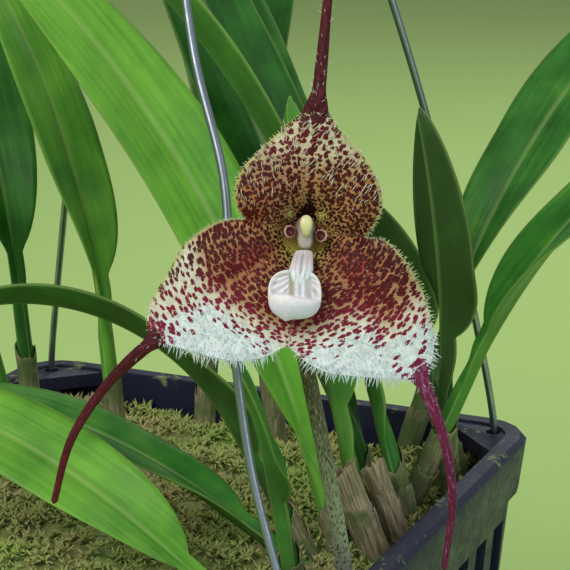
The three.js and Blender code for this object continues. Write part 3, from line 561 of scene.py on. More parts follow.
def waxy_tissue(name, roughness, grain, strength):
    """Smooth fleshy flower tissue: waxy, so a soft sheen, with a skin grain of that size in millimetres."""
    material, add = blank_material(name)
    tint = add("Attribute.Color", attribute_name="ground")
    spot = add("TexCoord.Object")
    noise = add("TexNoise.Fac", {"Vector": spot, "Scale": 1 / (grain * MM), "Detail": 2})
    shade = add("MapRange", [noise, 0.3, 0.7, 0.94, 1.05])
    painted = add("VectorMath", {0: tint, "Scale": shade}, operation="SCALE")
    bump = add("Bump", {"Strength": strength, "Distance": 0.0001, "Height": noise})
    return finished(material, add("BsdfPrincipled", {
        "Base Color": painted, "Roughness": roughness, "Subsurface Weight": 0.3,
        "Subsurface Scale": 0.0012, "IOR": 1.44, "Normal": bump,
    }))


def scape_tissue():
    """Flower stalk: a living skin finely flecked with grey and brown, in dashes about 0.25 by 1 mm.

    It looks grey-green from afar, and dull.
    """
    material, add = blank_material("scape flecked skin")
    along = add("Attribute.Vector", attribute_name="grain")
    ground = add("Attribute.Color", attribute_name="ground")
    flecks = add("TexNoise.Fac", {"Vector": along, "Scale": 4.2, "Detail": 4})
    pale = add("MapRange", [flecks, 0.53, 0.66, 0.0, 0.55])
    dark = add("MapRange", [flecks, 0.48, 0.38])
    tone = add("Mix.2", {0: pale, 6: ground, 7: linear("#a7aca4")}, data_type="RGBA")
    tone = add("Mix.2", {0: dark, 6: tone, 7: linear("#3a3424")}, data_type="RGBA")
    bump = add("Bump", {"Strength": 0.5, "Distance": 0.00012, "Height": flecks})
    return finished(material, add("BsdfPrincipled", {
        "Base Color": tone, "Roughness": 0.55, "IOR": 1.45, "Normal": bump,
    }))


def leaf_tissue():
    """Orchid leaf: leathery living blade, satin above and duller beneath.

    Veins run along the blade about 0.9 mm apart and the midrib shows as a pale line. Each leaf's
    tone sets its green: partly its age, partly painted shade on the deep ones and painted backlight on
    the bright ones.
    """
    plant = settings("orchid_plant")
    material, add = blank_material("leaf leathery blade")
    grain = add("Attribute.Vector", attribute_name="grain")
    layers = ("tone", "across", "under")
    tone, across, under = (add("Attribute.Fac", attribute_name=layer) for layer in layers)
    cloud = add("TexNoise.Fac", {"Vector": grain, "Scale": 0.11, "Detail": 3})
    stretched = add("VectorMath", [grain, (1.0, 0.035, 1.0)], operation="MULTIPLY")
    veins = add("TexNoise.Fac", {"Vector": stretched, "Scale": 1.1, "Detail": 3})
    age = add("Math", [cloud, 0.9, -0.45], operation="MULTIPLY_ADD")
    # Painted light: the deep green is partly shade on old leaves, the bright one partly backlight through
    # young leaves.
    greens = (0, (*plant.old_shaded_leaf, 1)), (0.5, (*plant.leaf, 1)), (1, (*plant.young_backlit_leaf, 1))
    body = add("ValToRGB", [add("Math", [tone, age])], greens)
    lit = add("MapRange", [veins, 0.35, 0.65, 0.86, 1.14])
    body = add("VectorMath", {0: body, "Scale": lit}, operation="SCALE")
    beside = add("Math", [across], operation="ABSOLUTE")
    rib = add("MapRange", [beside, 0.1, 0.02, 0.0, 0.34])
    edge = add("MapRange", [beside, 0.95, 1.0, 0.0, 0.35])
    dull = add("Math", [under, 0.22], operation="MULTIPLY")
    for amount, code in ((rib, "#a9c47a"), (edge, "#9dbb68"), (dull, "#6f9450")):
        body = add("Mix.2", {0: amount, 6: body, 7: linear(code)}, data_type="RGBA")
    gloss = add("MapRange", [cloud, 0.3, 0.7, 0.3, 0.46])
    bump = add("Bump", {"Strength": 0.35, "Distance": 0.0003, "Height": veins})
    return finished(material, add("BsdfPrincipled", {
        "Base Color": body, "Roughness": gloss, "Subsurface Weight": 0.08, "Subsurface Scale": 0.002,
        "IOR": 1.45, "Specular IOR Level": 0.25, "Normal": bump,
    }))


def dry_sheath(name, low, high):
    """Papery sheath of a stem: dead, fibrous, grey to tan, with fibres about 0.4 mm apart.

    Greener where it is younger: stains of green cover it where the stain noise passes from low to high.
    """
    material, add = blank_material(name)
    grain = add("Attribute.Vector", attribute_name="grain")
    stretched = add("VectorMath", [grain, (1.0, 0.08, 1.0)], operation="MULTIPLY")
    fibres = add("TexNoise.Fac", {"Vector": stretched, "Scale": 2.4, "Detail": 4})
    stains = add("TexNoise.Fac", {"Vector": grain, "Scale": 0.22, "Detail": 3})
    tans = (0.3, linear("#5d5440")), (0.5, linear("#958a6d")), (0.7, linear("#b9ae90"))
    body = add("ValToRGB", [fibres], tans)
    green = add("MapRange", [stains, low, high, 0.0, 0.85])
    body = add("Mix.2", {0: green, 6: body, 7: linear("#4d6a34")}, data_type="RGBA")
    bump = add("Bump", {"Strength": 0.7, "Distance": 0.0002, "Height": fibres})
    return finished(material, add("BsdfPrincipled", {
        "Base Color": body, "Roughness": 0.82, "IOR": 1.4, "Normal": bump,
    }))


def sphagnum(name, shade):
    """Sphagnum moss: soft, wet, pale green heads on straw-coloured stems; patches about 12 mm wide."""
    plant = settings("orchid_plant")
    material, add = blank_material(name)
    spot = add("TexCoord.Object")
    patch = add("TexNoise.Fac", {"Vector": spot, "Scale": 85, "Detail": 3})
    fine = add("TexNoise.Fac", {"Vector": spot, "Scale": 900, "Detail": 3})
    body = add("ValToRGB", [patch], ((0.32, (*plant.moss_straw, 1)), (0.66, (*plant.moss_green, 1))))
    # Painted shade: shade scales the whole colour, so the body's copy is made darker than the heads'.
    lit = add("MapRange", [fine, 0.3, 0.7, 0.75 * shade, 1.2 * shade])
    body = add("VectorMath", {0: body, "Scale": lit}, operation="SCALE")
    bump = add("Bump", {"Strength": 0.8, "Distance": 0.0006, "Height": fine})
    return finished(material, add("BsdfPrincipled", {
        "Base Color": body, "Roughness": 0.75, "Subsurface Weight": 0.15, "Subsurface Scale": 0.002,
        "IOR": 1.38, "Normal": bump,
    }))


def moulded_plastic():
    """Polypropylene, injection moulded: blue-black and satin, with a bloom of lime.

    A film of algae dulls it, and is thickest at the top of the rim.
    """
    basket = settings("orchid_basket")
    material, add = blank_material("polypropylene moulded")
    spot = add("TexCoord.Object")
    near_rim = add("MapRange", [add("SeparateXYZ.Z", [spot]), 0.0765, 0.0802, 0.0, 0.12])
    film = add("TexNoise.Fac", {"Vector": spot, "Scale": 120, "Detail": 5})
    fine = add("TexNoise.Fac", {"Vector": spot, "Scale": 1400, "Detail": 2})
    specks = add("TexNoise.Fac", {"Vector": spot, "Scale": 650, "Detail": 3})
    film = add("Mix", {0: 0.45, 2: film, 3: specks})
    wet = add("Math", [film, near_rim])
    algae = add("MapRange", [wet, 0.66, 0.76, 0.0, 0.8])
    lime = add("MapRange", [film, 0.42, 0.3, 0.0, 0.3])
    body = add("Mix.2", {0: lime, 6: (*basket.plastic, 1), 7: linear("#66708c")}, data_type="RGBA")
    body = add("Mix.2", {0: algae, 6: body, 7: linear("#8fa06a")}, data_type="RGBA")
    gloss = add("MapRange", [wet, 0.35, 0.75, 0.3, 0.68])
    bump = add("Bump", {"Strength": 0.18, "Distance": 0.0002, "Height": fine})
    return finished(material, add("BsdfPrincipled", {
        "Base Color": body, "Roughness": gloss, "IOR": 1.49, "Specular IOR Level": 0.35, "Normal": bump,
    }))


def galvanised_wire():
    """Steel wire, drawn and galvanised: dull silver with drawing lines and grey oxide blooms."""
    material, add = blank_material("steel wire galvanised")
    grain = add("Attribute.Vector", attribute_name="grain")
    stretched = add("VectorMath", [grain, (1.0, 0.05, 1.0)], operation="MULTIPLY")
    lines = add("TexNoise.Fac", {"Vector": stretched, "Scale": 3.5, "Detail": 2})
    bloom = add("TexNoise.Fac", {"Vector": grain, "Scale": 0.35, "Detail": 4})
    body = add("Mix.2", {0: bloom, 6: linear("#a3b0b9"), 7: linear("#75828d")}, data_type="RGBA")
    gloss = add("MapRange", [bloom, 0.3, 0.7, 0.3, 0.46])
    bump = add("Bump", {"Strength": 0.12, "Distance": 0.0001, "Height": lines})
    return finished(material, add("BsdfPrincipled", {
        "Base Color": body, "Roughness": gloss, "Metallic": 1.0, "Normal": bump,
    }))


# The face of the joined sepals

def face_height(x, y, share):
    """Height of the face over the flower plane, share being the way out to the margin.

    A deep round cup, less a trough along each seam and a groove along each midrib, plus a hood
    towards the top, with the margins curled back at the top and sides and forward below.
    """
    r = np.hypot(x, y)
    angle = way_round(x, y)
    cup = -CUP_DEPTH * np.exp(-((r / CUP_REACH) ** 2.4))
    outer = smooth(3, 9, r)
    troughs = sum(turned_bell(angle, seam, 9) for seam in SEAMS) * outer * smooth(0.25, 0.8, share)
    grooves = sum(turned_bell(angle, rib, 5) for rib in MIDRIBS) * outer * (1 - smooth(0.5, 0.85, share))
    low = turned_bell(angle, 240, 26) + turned_bell(angle, 288, 24)
    sides = turned_bell(angle, 185, 24) + turned_bell(angle, 338, 24)
    shoulders = turned_bell(angle, 40, 34) + turned_bell(angle, 135, 30)
    curl = share**5 * (1.5 * np.minimum(1, low) - 1.9 * np.minimum(1, sides + shoulders))
    return cup + 0.5 * smooth(4, 12, r) - 1.3 * troughs - 0.45 * grooves + 1.6 * smooth(4, 20, y) + curl


def face_normal(x, y, share):
    """Outward direction of the face, from its slopes over a tenth of a millimetre."""
    step = 0.05
    dx = (face_height(x + step, y, share) - face_height(x - step, y, share)) / (2 * step)
    dy = (face_height(x, y + step, share) - face_height(x, y - step, share)) / (2 * step)
    return unit(stacked(-dx, -dy, 1.0))


def rim_reach(x, y):
    """Distance from the middle to the margin in the direction of each point."""
    rim = spline(OUTLINE, 720, closed=True).T
    angle = way_round(*rim)
    order = np.argsort(angle)
    return np.interp(way_round(x, y), angle[order], np.hypot(*rim)[order], period=360)


def under_edge(x, y):
    """How far each point lies below the upper edge of the white field."""
    return np.interp(x, *np.array(WHITE_EDGE).T) - y


def from_tails(x, y):
    """Distance of each point from the foot of the upper, the left and the right tail."""
    return [np.hypot(x - tail["via"][1][0], y - tail["via"][1][1]) for tail in TAILS.values()]


def lattice(x, y):
    """Coordinates of the mark pattern: cells passed outwards, and cells passed round the sepal's own point.

    Cells grow outwards, so their count is a logarithm of the distance. Each sepal has its own stretch
    of the pattern.
    """
    which = np.searchsorted(SEAMS, way_round(x, y)) % len(SEAMS)
    axis, behind, around, first, growth = (np.array(row)[which] for row in MARK_ROWS.values())
    axis = np.radians(axis)
    far_x, far_y = x + behind * np.cos(axis), y + behind * np.sin(axis)
    passed = np.maximum(np.hypot(far_x, far_y) - behind, -1.5)
    out = np.log(1 + growth * passed / first) / growth
    turn = (np.arctan2(far_y, far_x) - axis + np.pi) % (2 * np.pi) - np.pi
    return stacked(out + 60.0 * which, turn * around)


def sepal_paint(x, y, share):
    """Ground colour, mark colour, cover and presence of the marks at each point of the face.

    Cover is the share of the ground that marks take up; presence is the share of marks that are there
    at all, which is low only in the white field.
    """
    look = settings("orchid_flower")
    r = np.hypot(x, y)
    angle = way_round(x, y)
    past_seam = (angle + 3) % 360
    upper = smooth(0, 4, past_seam) * (1 - smooth(167, 171, past_seam))
    lower = 1 - upper
    below = under_edge(x, y)
    white = smooth(-1.6, 1.4, below) * lower
    outer = np.maximum(smooth(-4.5, -0.8, below), smooth(14.5, 18.5, r - 2.5 * (x > 0))) * lower
    top = np.minimum(1, turned_bell(angle, 186, 13) + turned_bell(angle, 347, 15)) * lower * smooth(5, 8, r)
    ridge = np.minimum(1, turned_bell(angle, 203, 13) + turned_bell(angle, 327, 15)) * lower
    below_column = turned_bell(angle, 218, 30) + turned_bell(angle, 312, 28)
    rays = (turned_bell(angle, 46, 7.5) + turned_bell(angle, 129, 7.5)) * bell(r, 3.5, 0.45)
    upper_tip, left_tip, right_tip = from_tails(x, y)
    near_tip = 1 - smooth(1.2, 5.2, np.minimum.reduce([0.62 * upper_tip, left_tip, right_tip]))

    ground = coated(
        look.ochre,
        (look.throat, np.minimum(1, 1.2 * below_column) * (1 - smooth(3.4, 6.0, r))),
        (look.cream, upper * smooth(7.5, 13.5, y)),
        (look.blush, 0.75 * upper * bell(x, -3.4, 3.0) * bell(y, 7.0, 3.4)),
        (look.tan, lower * smooth(6, 10, r)),
        (look.flush, 0.9 * ridge * bell(r, 9.0, 4.0)),
        (look.flush, 0.4 * upper * bell(x, -6.5, 2.8) * bell(y, 4.0, 2.4)),
        (look.outer, 0.95 * outer),
        (look.white, white),
        (look.margin, 0.8 * smooth(0.95, 0.985, share) * (1 - smooth(-5, -1, below) * lower)),
        (look.ray, np.minimum(1, rays)),
    )
    pigment = coated(
        look.throat_mark,
        (look.mark, smooth(4, 8, r)),
        (look.top_mark, upper * smooth(9, 14, y)),
        (look.mid_mark, lower * smooth(6, 10, r)),
        (look.low_mark, lower * smooth(-6.5, -1.5, below)),
        (look.dark_mark, 0.85 * top * smooth(-3, -7, below)),
        (look.tail, 1 - smooth(2, 6, upper_tip)),
        (look.right_tail, 0.8 * (1 - smooth(1.5, 5, right_tip))),
    )

    midvein = 0.5 + 0.085 * (y - 3)
    thread = bell(x, midvein, mix(0.55, 0.22, smooth(3, 9, y)))
    thread = thread * smooth(1.2, 2.4, y) * (1 - smooth(13, 17, y))
    beside = np.maximum(bell(x, midvein - 0.95, 0.42), 0.7 * bell(x, midvein + 0.9, 0.36))
    cover = coated(
        0.5,
        (0.58, smooth(4, 8, r)),
        (0.72, upper * smooth(4, 8, r) * (1 - smooth(5, 12, y))),
        (0.46, upper * smooth(9, 14, y)),
        # Painted shade: on the right half (x > 0) the lower sepals' middle takes 0.09 more cover, so it reads
        # darker.
        (0.66 + 0.09 * (x > 0), lower * smooth(5.5, 8.5, r)),
        (0.76, ridge * smooth(5.5, 8.5, r) * (1 - smooth(13, 17, r))),
        (0.40, outer),
        (0.20, smooth(0.93, 0.985, share) * (1 - white)),
        (0.92, near_tip**1.3),
        (0.998, upper * np.minimum(1, 2.4 * thread)),
        (0.12, beside * smooth(3.5, 5, y) * (1 - smooth(10, 13, y)) * upper),
        *((0.08, streak(x, y, *ends)) for ends in np.array(STREAKS)),
        (0.0, np.minimum(1, 1.3 * below_column) * (1 - smooth(2.9, 4.0, r))),
        (0.97, np.minimum(1, 1.5 * bell(angle, 86, 24)) * (1 - smooth(2.9, 3.7, r))),
        (0.03, np.minimum(1, 1.2 * rays)),
    )
    presence = 1 - 0.96 * smooth(-0.6, 3.2, below) * lower * (1 - near_tip)
    outmost = smooth(17, 18.5, np.abs(x + 0.5)) * lower * (1 - smooth(2.5, 5, below))
    return ground, pigment, np.clip(cover, 0.005, 0.985), np.maximum(presence, 0.75 * outmost)


def streak(x, y, foot, head):
    """Amount of a narrow streak from foot to head: a bell across it, eased at both ends."""
    along = unit(head - foot)
    passed = (x - foot[0]) * along[0] + (y - foot[1]) * along[1]
    off = (x - foot[0]) * along[1] - (y - foot[1]) * along[0]
    run = smooth(-1, 1, passed) * (1 - smooth(0.7, 1.1, passed / np.linalg.norm(head - foot)))
    return 0.9 * run * bell(off, 0, 0.34)


def mark_level(cover):
    """Radius of the marks, in cells, that covers that share of the ground."""
    return np.interp(cover, COVER_SHARES, COVER_RADII)


def make_sepals():
    """The joined sepals: round rings in the cup, then rings that widen to the outline.

    The front is the face; the back lies behind it along its normal, thinner towards the margin.
    """
    look = settings("orchid_flower")
    rim = spline(OUTLINE, look.sepal_steps, closed=True)
    far = np.hypot(*rim.T)
    throat_rings, blade_rings = 9, 48
    inner = THROAT * np.arange(1, throat_rings + 1)[:, None] / throat_rings * np.ones(len(rim))
    outer = mix(THROAT, far, np.arange(1, blade_rings + 1)[:, None] / blade_rings)
    share = np.vstack([inner, outer]) / far
    x, y = rim[:, 0] * share, rim[:, 1] * share
    front = stacked(x, y, face_height(x, y, share))
    thick = SEPAL_THICK * mix(1, 0.42, smooth(0.75, 1, share))
    back = front - face_normal(x, y, share) * thick[..., None]
    ground, pigment, cover, presence = sepal_paint(x, y, share)
    pale = mix(ground, look.margin, 0.55)
    rows = lattice(x, y)
    faces = layered(in_flower(front), ground, pigment, mark_level(cover), rows, presence)
    backs = layered(in_flower(back), pale, pigment, mark_level(cover * 0.6), rows, presence)
    shape = skin(np.concatenate([faces, backs[::-1]]))
    place("sepals_fused", shape, sepal_tissue(), ("sepals",), SEPAL_LAYERS)


def tail_line(tail, count):
    """Middle line of a tail in the flower frame: its points in the plane, falling back along it."""
    via = []
    for i, (x, y) in enumerate(tail["via"]):
        behind = -mix(0.1, tail["drop"], (i - 1) / (len(tail["via"]) - 2))
        via.append((x, y, face_height(x, y, 0.9) - (1.1, 0.5)[i] if i < 2 else behind))
    return spline(via, count)


def tail_size(t):
    """Half width and half thickness of a tail: flattened at its foot, then round and slender."""
    slender = mix(1.0, 0.7, smooth(0.1, 0.5, t)) - 0.2 * smooth(0.5, 1, t)
    tip = np.sqrt(np.clip(1 - smooth(0.985, 1, t), 0.05, 1))
    return [mix(1.15 * foot, slender, smooth(0, 0.14, t)) * tip for foot in TAIL_FOOT]


def make_tails():
    """The three tails: an oval carried along each middle line, ribbed by seven shallow waves.

    They are almost solidly coloured, with paler strokes between long marks.
    """
    look = settings("orchid_flower")
    sides, steps = 28, 180
    t = np.linspace(0, 1, steps)
    shapes = []
    for name, tail in TAILS.items():
        line = tail_line(tail, steps)
        step = line[1] - line[0]
        across = unit(np.array([-step[1], step[0], 0]))
        rings = carried(line, *tail_size(t), sides, across, 7, 0.05 * smooth(0.05, 0.2, t))
        reach = t[:, None] * walked(line)[-1] * np.ones((1, sides))
        near, far = (look.right_tail, look.right_tail_end) if name == "right" else (look.tail, look.tail_end)
        solid = mix(near, far, smooth(6, 22, reach)[..., None])
        strokes = look.stroke if name == "right" else 1.3 * solid + 0.008
        cover = 0.72 + 0.16 * smooth(3, 9, reach)
        rows = stacked(reach * 0.9, (round_turn(sides) + np.pi / 2) % (2 * np.pi) * 2.4) + 200
        paint = strokes, solid, mark_level(cover), rows, np.ones_like(reach)
        shapes.append(skin(layered(in_flower(rings), *paint)))
    place("sepal_tails", joined(*shapes), sepal_tissue(), layers=SEPAL_LAYERS)


def make_hairs():
    """Hairs of the face, its margins and the tails.

    Surface hairs stand at random points, kept with a chance that follows the density wanted there;
    the fringe grows from evenly jittered points of the outline, outwards in the flower plane; the
    hairs of a tail stand at random points round its first part.
    """
    look = settings("orchid_flower")
    draw = np.random.default_rng(7)
    groups = []

    def grow(x, y, share, way, length, thick, bend, pale, white):
        """Adds hairs that stand on the face; white is 1 for those of the white field."""
        z = face_height(x, y, share) - 0.04
        tint = mix(pale, look.white_hair, white[:, None])
        roots = np.concatenate([in_flower(stacked(x, y, z)), tint], axis=1)
        groups.append(spikes(roots, unit(way) @ FLOWER_AXES, length, thick, bend @ FLOWER_AXES))

    total = look.surface_hairs
    x, y = draw.uniform(-24, 20, total), draw.uniform(-22.5, 19.5, total)
    share = np.hypot(x, y) / rim_reach(x, y)
    white = smooth(-1.0, 1.0, under_edge(x, y)) * (y < 0)
    upper = smooth(2, 5, y)
    clear_of_tips = smooth(2, 5, np.minimum.reduce(from_tails(x, y)))
    density = mix(0.11 + 0.09 * upper, 0.62, white) * smooth(6, 9, np.hypot(x, y)) * clear_of_tips
    keep = (share < 0.985) & (draw.uniform(0, 1, total) < density)
    x, y, share, white, upper = (v[keep] for v in (x, y, share, white, upper))
    count = len(x)
    spread = draw.normal(0, 1, (count, 3)) * mix(0.22, 0.13, upper)[:, None]
    sway = mix(0.25 * np.sign(x) * (1 - white), mix(-0.15, 0.6, smooth(-2, 1, x)), upper)
    lean = stacked(sway, mix(-0.35 * white - 0.1, 0.75, upper), 0.0)
    way = face_normal(x, y, share) * mix(0.7, 1.0, white)[:, None] + lean + spread
    length = mix(mix(0.5, 1.35, upper), 0.36, white) * draw.uniform(0.7, 1.25, count) * look.hair_scale
    thick = mix(mix(0.06, 0.105, upper), 0.11, white)
    bend = stacked(0.0, -0.15 * white, 0.0) + draw.normal(0, 0.12, (count, 3))
    grow(x, y, share, way, length, thick, bend, look.hair, white)

    rim = spline(OUTLINE, 2400, closed=True)
    along = unit(np.roll(rim, -1, axis=0) - np.roll(rim, 1, axis=0))
    outward = stacked(along[:, 1], -along[:, 0])
    count = look.fringe_hairs
    for row, share in enumerate((1.0, 0.975, 0.95)):
        pick = (np.arange(count) * len(rim) // count + draw.integers(0, 6, count)) % len(rim)
        x, y = (rim[pick] * share).T
        white = smooth(0.0, 2.5, under_edge(x, y)) * (y < 0)
        right = smooth(12, 16, x) * (y < 0)
        length = mix(0.36 + 0.3 * right, mix(1.1, 0.6, row / 2), white) * draw.uniform(0.6, 1.4, count)
        clear_of_tips = smooth(1.5, 4.5, np.minimum.reduce(from_tails(x, y)))
        length = length * mix(0.45, 1, clear_of_tips) * look.hair_scale
        way = stacked(*outward[pick].T, mix(0.35, 0.12, white) + 0.25 * row)
        way = way + draw.normal(0, 0.28, (count, 3))
        bend = stacked(0.0, -0.3 * white, 0.0) + draw.normal(0, 0.15, (count, 3))
        grow(x, y, share, way, length, mix(0.065, 0.1, white), bend, look.margin_hair, white)

    for name, tail in TAILS.items():
        steps = 400
        line = tail_line(tail, steps)
        along, side, up = frames(line, np.array([0, 0, 1.0]))
        count, reach = (70, 0.5) if name == "upper" else (26, 0.2)
        t = 0.02 + draw.uniform(0, 1, count) ** 1.7 * reach
        at = (t * (steps - 1)).astype(int)
        turn = draw.uniform(0, 2 * np.pi, count)[:, None]
        out = side[at] * np.cos(turn) + up[at] * np.sin(turn)
        wide, thick = tail_size(t)
        sunk = 0.85 * np.minimum(wide, thick + 0.25)[:, None]
        roots = layered(in_flower(line[at] + out * sunk), look.hair)
        way = unit(out + 0.9 * along[at] + draw.normal(0, 0.2, (count, 3)))
        length = draw.uniform(0.5, 1.05, count) * look.hair_scale
        groups.append(spikes(roots, way @ FLOWER_AXES, length, 0.06, np.zeros((count, 3))))
    place("sepal_hairs", joined(*groups), hair_tissue(), layers=PAINT)


# Lip, column, anther cap and petals

def lip_outline(angle):
    """Outline of the bowl: an oval squared a little at its corners, with a small beak below."""
    squared = 1 - 0.045 * np.cos(4 * angle)
    beak = 0.35 * peak(angle + np.pi * 0.6, 0.16)
    return (LIP_WIDE * squared + beak) * np.cos(angle), (LIP_TALL * squared + beak) * np.sin(angle)


def lip_face(x, y, share):
    """Height of the bowl's face, how deep in a valley each point lies, and how far in a gill's furrow.

    The lower half is a dome. The upper half is hollowed, with a steep wall below it and a notch above
    it for the claw. A keel of two ridges runs down the hollow, with a broad valley on each side, and
    outside those the gills are waves of the angle seen from the claw. The valley and furrow amounts
    mark where painted shade greys the bowl.
    """
    dome = 2.5 * np.sqrt(np.clip(1 - share * share * 0.97, 0, 1)) * mix(0.8, 1, smooth(1.5, -2, y))
    wall = 0.15 - 0.2 * (x + 1.5) * smooth(-2, 0, x)
    hollow = smooth(wall - 0.35, wall + 0.3, y) * (1 - smooth(0.78, 1.0, share))
    beside = x - KEEL_X
    aside = np.abs(beside)
    notch = smooth(2.1, 1.4, aside) * smooth(2.0, 3.0, y)
    keel = peak(aside - 0.5, 0.26) * smooth(wall - 0.5, wall + 0.9, y)
    broad = smooth(0.75, 1.05, aside) * (1 - smooth(1.5, 2.0, aside))
    fan = np.degrees(np.arctan2(aside, 3.2 - y))
    gills = 0.5 + 0.5 * np.cos(np.radians(fan * 24) + 0.6 * np.sin(1.7 * y + x))
    outer = hollow * smooth(1.5, 2.0, aside)
    furrow = np.maximum(outer * (1 - gills) * 0.75, 0.6 * hollow * peak(beside, 0.12))
    height = dome * (1 - notch) - 1.45 * hollow * (1 - notch) + hollow * 0.8 * keel + 0.22 * outer * gills
    return height, hollow * broad * np.where(beside < 0, 1, 0.55), furrow


def make_lip():
    """The lip: the bowl as a face and a back closed round the edge, and the grooved claw above it.

    The claw is an oval carried through its sections, with a groove down its middle, a line and a
    ridge on each side of that, all on its front. Painted shade greys the bowl's valleys and furrows
    and the claw's groove and lines, and tints the lower dome and the back of the bowl bluish.
    """
    look = settings("orchid_flower")
    around, rings = 180, 60
    share = (np.arange(1, rings + 1) / rings)[:, None] * np.ones(around)
    x, y = (rim * share for rim in lip_outline(np.linspace(-np.pi, np.pi, around, endpoint=False)))
    height, valley, furrow = lip_face(x, y, share)
    shift = np.array([*LIP_CENTRE, LIP_EDGE])
    front = stacked(x, y, height + 0.15) + shift
    back = stacked(x, y, -LIP_DEPTH * np.sqrt(1 - share * share) - 0.15) + shift
    # Painted shade: the lower dome is tinted bluish grey, and the back of the bowl takes the same colour.
    low = smooth(-0.4, -2.6, y)
    # Painted shade: the broad valleys and the furrows between the gills are greyed.
    coats = (look.lip_hollow_shade, valley), (look.lip_furrow_shade, 0.75 * furrow), (look.lip_chin_shade, 0.75 * low)
    waxen_and_shaded = coated(look.lip, *coats)
    faces, backs = layered(in_flower(front), waxen_and_shaded), layered(in_flower(back), look.lip_chin_shade)
    bowl = skin(np.concatenate([faces, backs[::-1]]))

    steps, sides = 60, 48
    claw_x, claw_y, claw_z, wide, thick = spline(CLAW_SECTIONS, steps).T[..., None]
    t = np.linspace(0, 1, steps)[:, None]
    cos, sin = np.cos(round_turn(sides)), np.sin(round_turn(sides))
    facing = (sin > 0) * smooth(0.02, 0.2, t)
    groove = 0.4 * peak(cos, 0.11) * facing * (1 - smooth(0.6, 0.85, t))
    lines = 0.14 * peak(np.abs(cos) - 0.52, 0.09) * facing
    ridges = 0.24 * peak(np.abs(cos) - 0.3, 0.14) * facing * smooth(0.1, 0.5, t)
    claw = stacked(claw_x + wide * cos, claw_y + 0.3 * sin, claw_z + thick * sin + ridges - groove - lines)
    # Painted shade: the claw's middle groove and its two side lines are greyed.
    shade = np.clip(2.4 * groove + 2.6 * lines, 0, 1)
    blushed_and_shaded = coated(look.lip_blush, (look.lip, smooth(0.1, 0.7, t)), (look.lip_furrow_shade, 0.75 * shade))
    shape = joined(bowl, skin(layered(in_flower(claw), blushed_and_shaded)))
    material = waxy_tissue("lip waxy tissue", 0.34, 0.5, 0.15)
    place("lip_bowl_and_claw", shape, material, ("lip",), PAINT)


def make_column():
    """Column, anther cap and petals.

    The column is a smooth skin through its sections. The anther cap is an egg, narrow end down, with
    a shallow furrow. A petal is a profile turned round its stalk, warty at the rim.
    """
    look = settings("orchid_flower")
    reach, wide, thick = spline(COLUMN_SECTIONS, 40).T[..., None]
    turn = round_turn(40)
    cos, sin = np.cos(turn), np.sin(turn)
    wings = 1 + 0.2 * (1 + sin) / 2 * smooth(-3.5, -1.8, reach)
    squared = np.sign(cos) * np.abs(cos) ** 0.75
    rings = stacked(0.05 + wide * squared * wings * 1.1, thick * sin - 0.1, reach)
    hood = np.maximum(smooth(-0.6, 1.4, rings[..., 1]), 0.7 * smooth(0.75, 1.25, np.abs(rings[..., 0])))
    shape = skin(layered(in_flower(rings), coated(look.column, (look.column_hood, hood))))
    material = waxy_tissue("column waxy tissue", 0.36, 0.4, 0.15)
    place("column_club", shape, material, ("column",), PAINT)

    lift = np.linspace(-np.pi / 2, np.pi / 2, 36)[1:-1, None]
    wide = 0.95 * (1 + 0.22 * np.sin(lift))
    furrow = 1 - 0.1 * peak(cos, 0.18) * (sin > 0) * smooth(-0.2, 0.6, np.sin(lift))
    egg_y = 0.95 + 1.6 * np.sin(lift)
    egg = stacked(0.2 + wide * np.cos(lift) * cos, egg_y, -0.02 + 0.75 * np.cos(lift) * sin * furrow)
    tint = coated(look.anther_tip, (look.anther, smooth(0.2, 1.6, egg[..., 1])))
    shape = skin(layered(in_flower(egg), tint))
    material = waxy_tissue("anther waxy cap", 0.28, 0.6, 0.1)
    place("anther_cap_egg", shape, material, ("anther_cap",), PAINT)

    material = waxy_tissue("petal warty tissue", 0.4, 0.25, 0.5)
    rows, inner_rows = 48, 20
    r, z = spline(PETAL_PROFILE, rows).T[..., None]
    warts = 1 + 0.06 * np.cos(9 * turn) * bell(r, 0.9, 0.15)
    oval = 0.93 + 0.1 * np.cos(turn - 0.6)
    for name, centre in PETAL_PLACES.items():
        side = math.copysign(1, centre[0])
        points = stacked(r * cos * warts * oval - 0.12 * side * z, r * sin * warts - 0.1 * z, z)
        outward = 0.5 + 0.5 * side * cos
        inside = (1 - smooth(0.66, 0.96, r + 0.14 * outward)) * (np.arange(rows)[:, None] < inner_rows)
        rim = coated(look.petal_inner, (look.petal, outward * np.ones_like(r)), (look.petal_heart, inside))
        shape = skin(layered(in_flower(points + centre), rim))
        place(f"{name}_cup", shape, material, (name,), PAINT)


# Scape, ovary and bract

def moss_height(x, y):
    """Height of the moss: a low mound with soft lumps, sums of slow waves."""
    away = np.maximum(np.abs(x), np.abs(y)) / RIM_HALF
    lumps = np.sin(x * 0.31 + 1.3) * np.cos(y * 0.27 + 0.4) + 0.6 * np.sin(x * 0.17 - y * 0.23)
    return MOSS_TOP + 2.2 * (1 - away * away) + 1.1 * lumps


def on_moss(x, y):
    """The point of the moss's surface at x and y."""
    return np.array([x, y, moss_height(x, y)])


def grain_round(sides, radius, reach):
    """Pattern coordinates of a round stem, in millimetres: round it on a circle, and along it."""
    turn = round_turn(sides)
    return stacked(radius * np.cos(turn), reach[:, None], radius * np.sin(turn))


